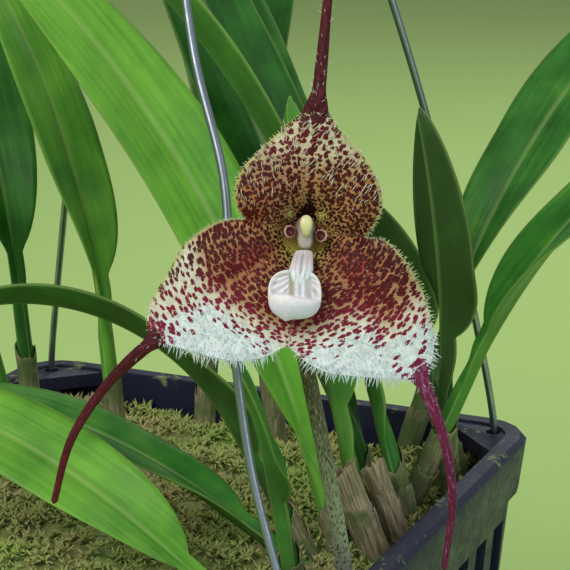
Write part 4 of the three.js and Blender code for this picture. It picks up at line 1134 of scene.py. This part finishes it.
def make_stalk():
    """The scape from the moss to the joint, the stalk and ovary behind the flower, and the bract.

    Scape and ovary are circles carried along their lines, the ovary with six ribs. The bract is a
    profile turned round the joint, with a slanting mouth.
    """
    look = settings("orchid_flower")
    hint = np.array([1.0, 0, 0])
    layers = (*PAINT, *GRAIN)
    material = scape_tissue()
    ground, first_bend = on_moss(*SCAPE_FOOT), np.array(SCAPE_BENDS[0])
    foot = ground - unit(first_bend - ground) * STEM_DEPTH
    sides = 26
    line = spline([foot, *SCAPE_BENDS, in_flower(JOINT - 5 * JOINT_ALONG), in_flower(JOINT)], 220)
    t = np.linspace(0, 1, len(line))
    radius = mix(SCAPE_FOOT_RADIUS, SCAPE_RADIUS, smooth(0, 0.7, t))
    grain = grain_round(sides, SCAPE_RADIUS, t * walked(line)[-1] * 0.22)
    tint = mix(look.scape, look.scape_top, smooth(0.35, 0.8, t)[:, None, None])
    shape = skin(layered(carried(line, radius, radius, sides, hint), tint, grain))
    place("scape_stem", shape, material, ("scape",), layers)

    start = JOINT + JOINT_ALONG * (TOUCH + 0.1)
    line = in_flower(spline([start, *OVARY_BENDS], 90))
    t = np.linspace(0, 1, len(line))
    radius = mix(0.8, 1.35, smooth(0.35, 0.75, t)) - 0.3 * smooth(0.8, 1, t)
    sides = 30
    rings = carried(line, radius, radius, sides, hint, 6, 0.09 * smooth(0.3, 0.6, t))
    shape = skin(layered(rings, look.scape_top, grain_round(sides, 1.2, t * 4)))
    place("ovary_ribbed", shape, material, ("ovary",), layers)

    profile = spline(BRACT_PROFILE, 40)
    sides = 32
    turn = round_turn(sides)[:, None]
    side = unit(np.cross(JOINT_ALONG, hint))
    other = np.cross(JOINT_ALONG, side)
    slant = 1 + 0.12 * np.cos(turn - 1.0)
    out = side * np.cos(turn) + other * np.sin(turn)
    rings = start + JOINT_ALONG * profile[:, None, 1:] * slant + profile[:, None, :1] * out
    shape = skin(layered(in_flower(rings), grain_round(sides, 1.8, profile[:, 1])))
    place("bract_papery", shape, dry_sheath("bract papery", 0.5, 0.66), ("bract",), GRAIN)


# Leafy stems

def leaning(lean, heading):
    """Directions that lean from upright towards a heading, both in degrees."""
    lean, heading = np.radians(lean), math.radians(heading)
    return stacked(np.sin(lean) * math.cos(heading), np.sin(lean) * math.sin(heading), np.cos(lean))


def leaf_line(leaf, steps=120):
    """Line of a leaf: straight steps whose lean grows along its length, so it arches over."""
    total = leaf.length + STEM_DEPTH
    middle = (np.arange(1, steps + 1) - 0.5) / steps * total
    blade = np.clip((middle - LEAF_STRAIGHT) / (total - LEAF_STRAIGHT), 0, 1)
    step = leaning(mix(leaf.lean, leaf.tip_lean, blade**1.15), leaf.heading)
    foot = on_moss(leaf.x, leaf.y) - step[0] * STEM_DEPTH / step[0, 2]
    return np.vstack([foot, foot + np.cumsum(step, axis=0) * total / steps])


def leaf_shape(leaf, line, order, draw):
    """A leafy stem: round at its foot, a channelled stalk, then a keeled blade.

    The blade's half width is a power of a sine from its foot at u = 0 to its tip at u = 1. The
    cross-section runs over the top from q = -1 to 1 and back beneath. Its middle line rises by the
    keel times |q|, it thins towards the margins, and a rib stands out beneath the fold.
    """
    half_count = 15
    t = np.linspace(0, 1, len(line))[:, None]
    reach = t * (leaf.length + STEM_DEPTH) - STEM_DEPTH
    flat = smooth(leaf.base - 4, leaf.base + 6, reach)
    u = (reach - leaf.base - 8) / (leaf.length - leaf.base - 8)
    inner = np.clip(u, 0, 1)
    swell = (leaf.width / 2) * np.clip(np.sin(np.pi * inner**0.78), 0, None) ** 0.72
    tip = 1 - smooth(0.965, 1.0, u)
    half = np.maximum(swell, mix(PETIOLE_HALF, 0.5, inner)) * np.sqrt(np.clip(tip, 0.02, 1))
    keel = half * mix(0.75, 0.2, smooth(0, 0.35, u))
    thick = mix(1.3, 1.0, smooth(0, 0.3, u)) * np.sqrt(np.clip(tip, 0.1, 1))
    top = np.linspace(-1, 1, half_count)
    q = np.concatenate([top, top[::-1]])
    over = np.repeat([1.0, -1.0], half_count)
    fold = (np.sqrt(q * q + 0.0036) - 0.06) / (math.sqrt(1.0036) - 0.06)
    body = thick * (1 - 0.62 * np.abs(q) ** 3)
    rib = np.where(over < 0, 0.5, 0.22) * peak(q, 0.1) * thick
    wave = 0.45 * np.sin(reach / 9.5 + order * 1.7) * q * q * smooth(0.1, 0.4, u)
    stem = mix(*STEM_RADII, smooth(0, leaf.base, reach))
    x = mix(np.sin(q * np.pi / 2) * stem, q * half, flat)
    y = mix(over * np.cos(q * np.pi / 2) * stem, keel * fold + over * body / 2 + wave - rib, flat)
    roll = -np.radians(mix(leaf.roll, leaf.tip_roll, t)) * flat
    heading = math.radians(leaf.heading)
    _, side, up = frames(line, np.array([-math.sin(heading), math.cos(heading), 0]))
    rings = (line[:, None] + side[:, None] * (x * np.cos(roll) - y * np.sin(roll))[..., None]
             + up[:, None] * (x * np.sin(roll) + y * np.cos(roll))[..., None])
    grain = stacked(q * half, reach, order * 31.0 + over * 3)
    # One tone per leaf: partly its age, partly painted shade and painted backlight.
    tone = np.full(x.shape, leaf.tone + draw.uniform(-0.03, 0.03))
    return skin(layered(rings, grain, tone, q[None], (over < 0)[None] * 1.0))


def sheath_shape(line, reaches, radius, high, slant, order, draw, low=-3):
    """A papery tube round a stem, with a slanting ragged mouth; outside up, then inside down.

    The radius swells a little towards the mouth and has shallow pleats along it.
    """
    sides, rows = 26, 22
    turn = round_turn(sides)
    ragged = draw.uniform(-0.7, 0.7, sides)
    mouth = high + slant * np.cos(turn - draw.uniform(0, 2 * np.pi)) + ragged
    rise = np.linspace(0, 1, rows)[:, None]
    reach = mix(low, mouth, rise)
    _, side, up = frames(line, np.array([0.3, 1.0, 0.1]))
    centre, side, up = (stacked(*(np.interp(reach, reaches, c) for c in v.T)) for v in (line, side, up))
    out = side * np.cos(turn)[:, None] + up * np.sin(turn)[:, None]
    pleats = 1 + 0.03 * np.cos(9 * turn + order) + 0.09 * rise**3 + 0.02 * np.sin(reach * 1.3 + order)
    grain = stacked(radius * np.cos(turn), reach + order * 17, radius * np.sin(turn))
    walls = (centre + (radius * pleats - wall)[..., None] * out for wall in (0.0, 0.17))
    outside, inside = (layered(wall, grain) for wall in walls)
    return skin(np.concatenate([outside, inside[::-1]]))


def make_leaves():
    """One piece for each leafy stem, and all their papery sheaths as one more."""
    draw = np.random.default_rng(11)
    material = leaf_tissue()
    sheaths = []
    for order, row in enumerate(LEAF_ROWS):
        leaf = SimpleNamespace(**dict(zip(LEAF_COLUMNS, row)))
        name = f"leaf_{order + 1:02d}"
        line = leaf_line(leaf)
        shape = leaf_shape(leaf, line, order, draw)
        place(f"{name}_blade", shape, material, (name,), LEAF_LAYERS)
        reaches = np.linspace(-STEM_DEPTH, leaf.length, len(line))
        high = 0.55 * leaf.base + order % 3
        inner, outer = SHEATH_RADII
        sheaths.append(sheath_shape(line, reaches, inner, high, 2.0, order, draw))
        sheaths.append(sheath_shape(line, reaches, outer, 0.5 * high, 1.2, order + 0.5, draw))
    material = dry_sheath("sheath green papery", 0.3, 0.58)
    place("leaf_sheaths", joined(*sheaths), material, layers=GRAIN)


def make_old_stems():
    """Old stems: a broken core low in the tube, and the open papery sheath round it."""
    draw = np.random.default_rng(23)
    material = dry_sheath("sheath dry papery", 0.55, 0.75)
    core_rows = 16
    for order, (name, stub) in enumerate(OLD_STEMS.items()):
        reaches = np.linspace(-STEM_DEPTH, stub.length + 2, 24)
        line = on_moss(stub.x, stub.y) + leaning(stub.lean, stub.heading) * reaches[:, None]
        tube = sheath_shape(line, reaches, stub.radius, stub.length - 0.8, 0.9, order + 40, draw, -4)
        short = sheath_shape(line, reaches, stub.radius + 0.28, stub.length * 0.55, 1.6, order + 50, draw, -4)
        thick = stub.radius * 0.62
        rings = carried(line[:core_rows], thick, thick, 20, np.array([0.0, 1.0, 0.0]))
        core = skin(layered(rings, grain_round(20, 1.5, reaches[:core_rows])))
        place(f"{name}_sheath", joined(tube, short, core), material, (name,), GRAIN)


# Moss

def wall_half(z):
    """Half the basket's width across the outside of its slatted wall, at a height."""
    return mix(FOOT_HALF, RIM_HALF - BAND_STEP, z / RIM_HEIGHT)


def square_ring(half, radius, count):
    """Points round a square with rounded corners: where rays from the middle meet it.

    Beyond the straight part the ray meets the corner's arc, which is found as for any circle.
    """
    turn = round_turn(count)
    folded = np.abs((turn + np.pi / 4) % (np.pi / 2) - np.pi / 4)
    centre = half - radius
    along = centre * (np.cos(folded) + np.sin(folded))
    arc = along + np.sqrt(np.clip(along**2 - 2 * centre**2 + radius**2, 0, None))
    r = np.where(half * np.tan(folded) > centre, arc, half / np.cos(folded))
    return stacked(r * np.cos(turn), r * np.sin(turn))


def make_moss():
    """The moss: a lumpy body behind the slots and under the rim, and the heads that cover its top.

    A head is a whorl of spikes round a tuft; heads stand at random points of the top, each leaning
    a little its own way.
    """
    draw = np.random.default_rng(31)
    count, wall_rows, top_rows, arms = 220, 34, 44, 7
    gap, corner = 0.6, 7
    radius = CORNER_RADIUS - WALL - 0.5
    shoulder = MOSS_TOP - 5
    rings = []
    for z in np.linspace(FLOOR + TOUCH, shoulder, wall_rows):
        ring = square_ring(wall_half(z) - WALL - gap, radius, count)
        turn = np.arctan2(ring[:, 1], ring[:, 0])
        dents = 0.5 + 0.5 * np.sin(turn * 23 + z * 0.7) * np.cos(turn * 41 - z * 1.1)
        rings.append(layered(ring * (1 - 0.016 * dents[:, None]), np.full((count, 1), z)))
    for share in np.linspace(0.985, 0.02, top_rows):
        flat = square_ring((wall_half(shoulder) - WALL - gap) * share, radius * share, count)
        bumps = 0.35 * np.sin(flat[:, 0] * 0.9) * np.sin(flat[:, 1] * 0.8 + 1)
        z = moss_height(*flat.T) + bumps - 0.6 - 3.0 * smooth(0.86, 1.0, share)
        rings.append(layered(flat, z[:, None]))
    # The moss body is a copy of the heads' material darkened to 0.62 as painted shade.
    place("moss_body", skin(np.array(rings)), sphagnum("sphagnum wet body painted shade", 0.62), ("moss",))

    limit = wall_half(MOSS_TOP) - WALL - 1.5
    at = draw.uniform(-limit, limit, (settings("orchid_plant").moss_heads, 2))
    at = at[np.hypot(*(np.abs(at) - (limit - corner)).clip(0).T) < corner]
    z = moss_height(*at.T) - 0.4 + draw.uniform(-0.5, 1.0, len(at))
    z = z - 2.2 * smooth(0.9, 1.0, np.abs(at).max(axis=1) / limit)
    whorl = np.repeat(np.column_stack([at, z]), arms, axis=0)
    turn = np.tile(np.arange(arms) * 2 * np.pi / arms, len(at)) + np.repeat(draw.uniform(0, 6, len(at)), arms)
    size = np.repeat(draw.uniform(2.0, 3.3, len(at)), arms) * draw.uniform(0.8, 1.15, len(whorl))
    tuft = np.tile(np.arange(arms) % 3 == 0, len(at))
    rise = np.where(tuft, 1.3, draw.uniform(0.35, 0.75, len(whorl)))
    tilt = np.repeat(draw.normal(0, 0.25, (len(at), 2)), arms, axis=0)
    way = unit(stacked(np.cos(turn) + tilt[:, 0], np.sin(turn) + tilt[:, 1], rise))
    bend = stacked(0.0, 0.0, np.where(tuft, -0.1, -0.55))
    stars = spikes(whorl, way, size, np.where(tuft, 0.34, 0.3), bend, ((0.0, 0.7), (0.5, 1.0)))
    place("moss_heads", stars, sphagnum("sphagnum wet heads", 1.0))


# Basket and hanger

def make_basket():
    """The basket: its solid's mesh, merged and with every moulded edge eased by a small bevel."""
    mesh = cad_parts["basket"].data.copy()
    shell = bmesh.new()
    shell.from_mesh(mesh)
    bmesh.ops.remove_doubles(shell, verts=shell.verts, dist=0.00002)
    bmesh.ops.dissolve_limit(shell, angle_limit=math.radians(0.5), verts=shell.verts, edges=shell.edges)
    shell.to_mesh(mesh)
    shell.free()
    mesh.name = "basket_moulded"
    mesh.materials.clear()
    mesh.polygons.foreach_set("use_smooth", np.ones(len(mesh.polygons), bool))
    piece = show("basket_moulded", mesh, moulded_plastic(), ("basket",))
    bevel = piece.modifiers.new("eased edges", "BEVEL")
    bevel.width = bpy.context.scene.orchid_basket.edge
    bevel.segments = 2
    bevel.limit_method = "ANGLE"
    bevel.angle_limit = math.radians(28)
    bevel.harden_normals = True


def wire_line(wire, count):
    """Line of a hanger wire: turned in under the corner web, up through its hole, to the collar."""
    corner = np.array([*wire["corner"], 0.0])
    out = unit(corner)
    aside = np.array([-corner[1], corner[0], 0]) / math.sqrt(2)
    hole = corner * WIRE_HOLE
    up = np.array([0, 0, 1.0])
    under = WEB_TOP - WEB_THICK - TOUCH - WIRE_RADIUS
    foot = [
        hole - out * WIRE_FOOT + up * (under - 0.1), hole - out * 1.1 + up * (under - 0.1),
        hole - out * 0.3 + up * (under + 0.3), hole + up * (WEB_TOP - WEB_THICK + 0.1),
    ]
    low = hole + up * (WEB_TOP + 2)
    top = out * 2.4 + up * (COLLAR_LOW - 12)
    bends = [mix(low, top, share) + aside * along + out * away for share, along, away in wire["bends"]]
    return spline([*foot, low, *bends, top, out * 2.3 + up * (COLLAR_LOW - TOUCH)], count)


def wire_shape(line, radius, sides):
    """A round wire along a line, with pattern coordinates in millimetres."""
    rings = carried(line, radius, radius, sides, np.array([0.31, 0.87, 0.11]))
    return skin(layered(rings, grain_round(sides, radius, walked(line))))


def make_hanger():
    """The four wires, and the hook with the wire wound round their ends as a close helix."""
    material = galvanised_wire()
    for name, wire in WIRES.items():
        shape = wire_shape(wire_line(wire, 240), WIRE_RADIUS, 14)
        place(f"{name}_drawn", shape, material, (name,), GRAIN)
    turn = np.radians(np.arange(-60, 191, 25))
    arc = stacked(HOOK_RADIUS * np.cos(turn), 0, HOOK_CENTRE + HOOK_RADIUS * np.sin(turn))
    shank = [(0, 0, COLLAR_LOW + 1), (0, 0, COLLAR_HIGH + 4), (0, 0, HOOK_CENTRE - HOOK_RADIUS - 4)]
    parts = [wire_shape(spline([*shank, *arc], 220), HOOK_WIRE, 18)]
    wound = np.linspace(0, COLLAR_TURNS * 2 * np.pi, 420)
    thread = (COLLAR_HIGH - COLLAR_LOW - 2 * WIRE_RADIUS) / COLLAR_TURNS
    coil = COLLAR_RADIUS - WIRE_RADIUS
    rise = COLLAR_LOW + WIRE_RADIUS + thread * wound / (2 * np.pi)
    parts.append(wire_shape(stacked(coil * np.cos(wound), coil * np.sin(wound), rise), WIRE_RADIUS, 12))
    for wire in WIRES.values():
        end = np.array([*wire["corner"], 0]) * WIRE_GATHER / math.sqrt(2)
        levels = ((1.2, COLLAR_LOW - 0.1), (1.0, COLLAR_LOW + 8), (1.0, COLLAR_HIGH + 1.2))
        line = spline([end * spread + np.array([0, 0, z]) for spread, z in levels], 24)
        parts.append(wire_shape(line, WIRE_RADIUS * 0.95, 12))
    place("hook_and_collar", joined(*parts), material, ("hanger_hook",), GRAIN)


# Stage

def make_stage():
    """A plain pale floor, soft studio light and the camera at the photograph's angle."""
    look = settings("orchid_stage")
    link = bpy.context.scene.collection.objects.link
    half = 3.0
    mesh = bpy.data.meshes.new("floor")
    corners = [(-half, -half, 0), (half, -half, 0), (half, half, 0), (-half, half, 0)]
    mesh.from_pydata(corners, [], [(0, 1, 2, 3)])
    floor = bpy.data.objects.new("floor", mesh)
    link(floor)
    material, add = blank_material("floor plain paint")
    paint = add("BsdfPrincipled", {"Base Color": (*look.floor, 1), "Roughness": 0.9})
    mesh.materials.append(finished(material, paint))

    world = bpy.data.worlds.new("studio")
    world.use_nodes = True
    sky = world.node_tree.nodes["Background"]
    sky.inputs[0].default_value = linear("#eef1ee")
    sky.inputs[1].default_value = look.surround
    bpy.context.scene.world = world
    aim = Vector((0.045, -0.04, 0.14))
    lights = (
        ("key", (-0.15, -0.75, 0.75), 0.55, look.key, "#fffaf2"),
        ("fill", (0.85, -0.35, 0.35), 0.7, look.key * 0.35, "#eef4ff"),
        ("back", (0.1, 0.7, 0.85), 0.8, look.key * 0.8, "#fbfff2"),
    )
    for name, spot, size, power, tint in lights:
        lamp = bpy.data.lights.new(name, "AREA")
        lamp.size = size
        lamp.energy = power
        lamp.color = linear(tint)[:3]
        holder = bpy.data.objects.new(name, lamp)
        holder.location = spot
        holder.rotation_euler = (aim - Vector(spot)).to_track_quat("-Z", "Y").to_euler()
        link(holder)

    camera = bpy.data.cameras.new("camera")
    camera.lens = look.lens
    camera.clip_start = 0.01
    eye = bpy.data.objects.new("camera", camera)
    eye.location = in_flower(np.array([look.across, look.down, look.distance]) / MM) * MM
    eye.rotation_euler = Matrix(FLOWER_AXES.T.tolist()).to_euler()
    link(eye)
    bpy.context.scene.camera = eye
    bpy.context.scene.view_settings.view_transform = "Standard"


# Settings, shown in the panel

def colour(name, code, description):
    """A colour property whose default is given as sRGB hex."""
    return bpy.props.FloatVectorProperty(
        name=name, description=description, default=linear(code)[:3], subtype="COLOR", size=3, min=0, max=1)


def metres(name, value, description):
    """A length property in metres."""
    return bpy.props.FloatProperty(
        name=name, description=description, default=value, unit="LENGTH", precision=5)


def number(name, value, description):
    """A whole number property, such as how many hairs."""
    return bpy.props.IntProperty(name=name, description=description, default=value, min=0)


def factor(name, value, description):
    """A plain number property."""
    return bpy.props.FloatProperty(name=name, description=description, default=value, min=0)


class OrchidFlower(bpy.types.PropertyGroup):
    """Colours and counts of the flower"""

    sepal_steps: number("Sepal steps", 512, "Points round the margin of the sepals")
    surface_hairs: number("Surface hairs", 9000, "Hairs tried on the face; denser zones keep more of them")
    fringe_hairs: number("Fringe hairs", 430, "Hairs in each of the three rows of the fringe")
    hair_scale: factor("Hair length", 1.0, "Factor on the length of every hair")
    throat: colour("Throat", "#b3a954", "Unspotted yellow-green of the cup")
    ray: colour("Rays", "#cfcf78", "Short pale rays above the column")
    ochre: colour("Ochre", "#a57d4c", "Ground colour round the throat")
    blush: colour("Blush", "#a67a66", "Pinkish brown of the upper sepal's left half")
    tan: colour("Tan", "#b28d62", "Ground colour of the lower sepals")
    cream: colour("Cream", "#cfcfb2", "Ground colour of the upper sepal's top")
    outer: colour("Outer", "#d8dacb", "Ground colour of the lower sepals' outer parts")
    white: colour("White", "#d9e5ea", "White field of the lower sepals")
    margin: colour("Margin", "#c0bf78", "Yellow-green edge of the sepals")
    flush: colour("Flush", "#93392f", "Red-brown flush beside the throat")
    throat_mark: colour("Throat marks", "#2c0d0f", "Dots round the throat")
    mark: colour("Marks", "#500d10", "Marks of the upper sepal's foot")
    top_mark: colour("Top marks", "#6e1324", "Marks of the upper sepal's top")
    mid_mark: colour("Middle marks", "#680e18", "Marks of the lower sepals' middle")
    low_mark: colour("Low marks", "#861638", "Marks beside and in the white field")
    dark_mark: colour("Dark marks", "#45100b", "Marks along the lower sepals' upper margins")
    stroke: colour("Strokes", "#8c5080", "Paler strokes of the right tail")
    tail: colour("Tail", "#4c0f1c", "Foot of the upper and left tails")
    tail_end: colour("Tail end", "#5e1626", "Ends of the upper and left tails")
    right_tail: colour("Right tail", "#7c2450", "Foot of the right tail")
    right_tail_end: colour("Right tail end", "#641c3c", "End of the right tail")
    hair: colour("Hair", "#ecd6cc", "Hairs of the face")
    margin_hair: colour("Margin hair", "#d8d9ae", "Hairs of the upper margins")
    white_hair: colour("White hair", "#d9e3ea", "Hairs of the white field and its fringe")
    lip: colour("Lip", "#f1eef7", "Waxy white of the lip")
    # Painted shade in the lip's broad valleys.
    lip_hollow_shade: colour("Lip hollow", "#a9a68f", "Broad valleys of the lip")
    # Painted shade in the furrows between the lip's gills and along the claw's groove and lines.
    lip_furrow_shade: colour("Lip valleys", "#9097a0", "Furrows between the gills of the lip")
    lip_blush: colour("Lip blush", "#dad3d6", "Top of the lip's claw")
    # Painted shade on the lip's lower dome and on its back.
    lip_chin_shade: colour("Lip chin", "#cfcdf4", "Lower dome of the lip")
    column: colour("Column", "#bab2aa", "Lower part of the column's front")
    column_hood: colour("Column hood", "#7b5f5a", "Hood round the anther cap")
    anther: colour("Anther", "#e3e2ae", "Anther cap")
    anther_tip: colour("Anther tip", "#d2cf9a", "Lower tip of the anther cap")
    petal: colour("Petal", "#c39d97", "Outer side of the petals' rims")
    petal_inner: colour("Petal inner", "#80463f", "Inner side of the petals' rims")
    petal_heart: colour("Petal heart", "#4a1118", "Middle of the petals")
    scape: colour("Scape", "#a1a896", "Flower stalk near the moss")
    scape_top: colour("Scape top", "#4d4d32", "Flower stalk near the flower")


class OrchidPlant(bpy.types.PropertyGroup):
    """Colours and counts of the leaves and the moss"""

    moss_heads: number("Moss heads", 2700, "Whorls of moss on the top of the basket")
    # Painted shade: partly the colour of old leaves, partly the shade on them.
    old_shaded_leaf: colour("Deep leaf", "#123519", "Old leaves")
    leaf: colour("Leaf", "#377a2b", "Most leaves")
    # Painted backlight: partly the colour of young leaves, partly light shining through them.
    young_backlit_leaf: colour("Young leaf", "#6fae3c", "Young leaves")
    moss_straw: colour("Moss straw", "#b9b27c", "Dry moss")
    moss_green: colour("Moss green", "#9dbb60", "Living moss")


class OrchidBasket(bpy.types.PropertyGroup):
    """Colour and edges of the basket"""

    plastic: colour("Plastic", "#1f2140", "Moulded plastic")
    edge: metres("Edge", 0.00035, "Width of the eased edges")


class OrchidStage(bpy.types.PropertyGroup):
    """Floor, light and camera"""

    floor: colour("Floor", "#b0d17e", "Plain floor")
    key: factor("Key light", 6.0, "Power of the main light in watts")
    surround: factor("Surround", 0.32, "Strength of the light from all sides")
    lens: factor("Lens", 126.9, "Focal length in millimetres")
    distance: metres("Distance", 0.3, "From the camera to the flower's plane")
    across: metres("Across", -0.002985, "Camera beside the flower's middle")
    down: metres("Down", -0.00791, "Camera above or below the flower's middle")


# Operators

def runs(make):
    """An operator's execute, which runs one of the functions above; what goes wrong there is raised."""
    def execute(self, context):
        make()
        return {"FINISHED"}
    return execute


class ORCHID_OT_sepals(bpy.types.Operator):
    """Makes the joined sepals"""

    bl_idname = "orchid.make_sepals"
    bl_label = "Sepals"
    execute = runs(make_sepals)


class ORCHID_OT_tails(bpy.types.Operator):
    """Makes the three tails of the sepals"""

    bl_idname = "orchid.make_tails"
    bl_label = "Tails"
    execute = runs(make_tails)


class ORCHID_OT_hairs(bpy.types.Operator):
    """Makes the hairs of the sepals and their tails"""

    bl_idname = "orchid.make_hairs"
    bl_label = "Hairs"
    execute = runs(make_hairs)


class ORCHID_OT_lip(bpy.types.Operator):
    """Makes the lip with its claw"""

    bl_idname = "orchid.make_lip"
    bl_label = "Lip"
    execute = runs(make_lip)


class ORCHID_OT_column(bpy.types.Operator):
    """Makes the column, the anther cap and the petals"""

    bl_idname = "orchid.make_column"
    bl_label = "Column and petals"
    execute = runs(make_column)


class ORCHID_OT_stalk(bpy.types.Operator):
    """Makes the scape, the ovary and the bract"""

    bl_idname = "orchid.make_stalk"
    bl_label = "Stalk"
    execute = runs(make_stalk)


class ORCHID_OT_leaves(bpy.types.Operator):
    """Makes the leafy stems and their sheaths"""

    bl_idname = "orchid.make_leaves"
    bl_label = "Leaves"
    execute = runs(make_leaves)


class ORCHID_OT_old_stems(bpy.types.Operator):
    """Makes the old cut stems"""

    bl_idname = "orchid.make_old_stems"
    bl_label = "Old stems"
    execute = runs(make_old_stems)


class ORCHID_OT_moss(bpy.types.Operator):
    """Makes the moss"""

    bl_idname = "orchid.make_moss"
    bl_label = "Moss"
    execute = runs(make_moss)


class ORCHID_OT_basket(bpy.types.Operator):
    """Makes the moulded basket"""

    bl_idname = "orchid.make_basket"
    bl_label = "Basket"
    execute = runs(make_basket)


class ORCHID_OT_hanger(bpy.types.Operator):
    """Makes the wires and the hook"""

    bl_idname = "orchid.make_hanger"
    bl_label = "Hanger"
    execute = runs(make_hanger)


class ORCHID_OT_stage(bpy.types.Operator):
    """Makes the floor, the lights and the camera"""

    bl_idname = "orchid.make_stage"
    bl_label = "Stage"
    execute = runs(make_stage)


GROUPS = {
    "orchid_flower": OrchidFlower,
    "orchid_plant": OrchidPlant,
    "orchid_basket": OrchidBasket,
    "orchid_stage": OrchidStage,
}
OPERATORS = (
    ORCHID_OT_sepals, ORCHID_OT_tails, ORCHID_OT_hairs, ORCHID_OT_lip, ORCHID_OT_column,
    ORCHID_OT_stalk, ORCHID_OT_leaves, ORCHID_OT_old_stems, ORCHID_OT_moss, ORCHID_OT_basket,
    ORCHID_OT_hanger, ORCHID_OT_stage,
)


class ORCHID_PT_panel(bpy.types.Panel):
    """Lists the pieces and their settings"""

    bl_idname = "ORCHID_PT_panel"
    bl_label = "Orchid"
    bl_space_type = "VIEW_3D"
    bl_region_type = "UI"
    bl_category = "Orchid"

    def draw(self, context):
        layout = self.layout
        for operator in OPERATORS:
            layout.operator(operator.bl_idname)
        for name, group in GROUPS.items():
            box = layout.box()
            for key in group.__annotations__:
                box.prop(getattr(context.scene, name), key)


def register():
    """Registers the settings, the operators and the panel."""
    for name, group in GROUPS.items():
        bpy.utils.register_class(group)
        setattr(bpy.types.Scene, name, bpy.props.PointerProperty(type=group))
    for kind in (*OPERATORS, ORCHID_PT_panel):
        bpy.utils.register_class(kind)


def unregister():
    """Takes them all out again."""
    for kind in (ORCHID_PT_panel, *reversed(OPERATORS)):
        bpy.utils.unregister_class(kind)
    for name, group in reversed(GROUPS.items()):
        delattr(bpy.types.Scene, name)
        bpy.utils.unregister_class(group)


def main():
    """Builds every piece in order."""
    register()
    for operator in OPERATORS:
        group, name = operator.bl_idname.split(".")
        getattr(getattr(bpy.ops, group), name)()


if __name__ == "__main__":
    main()
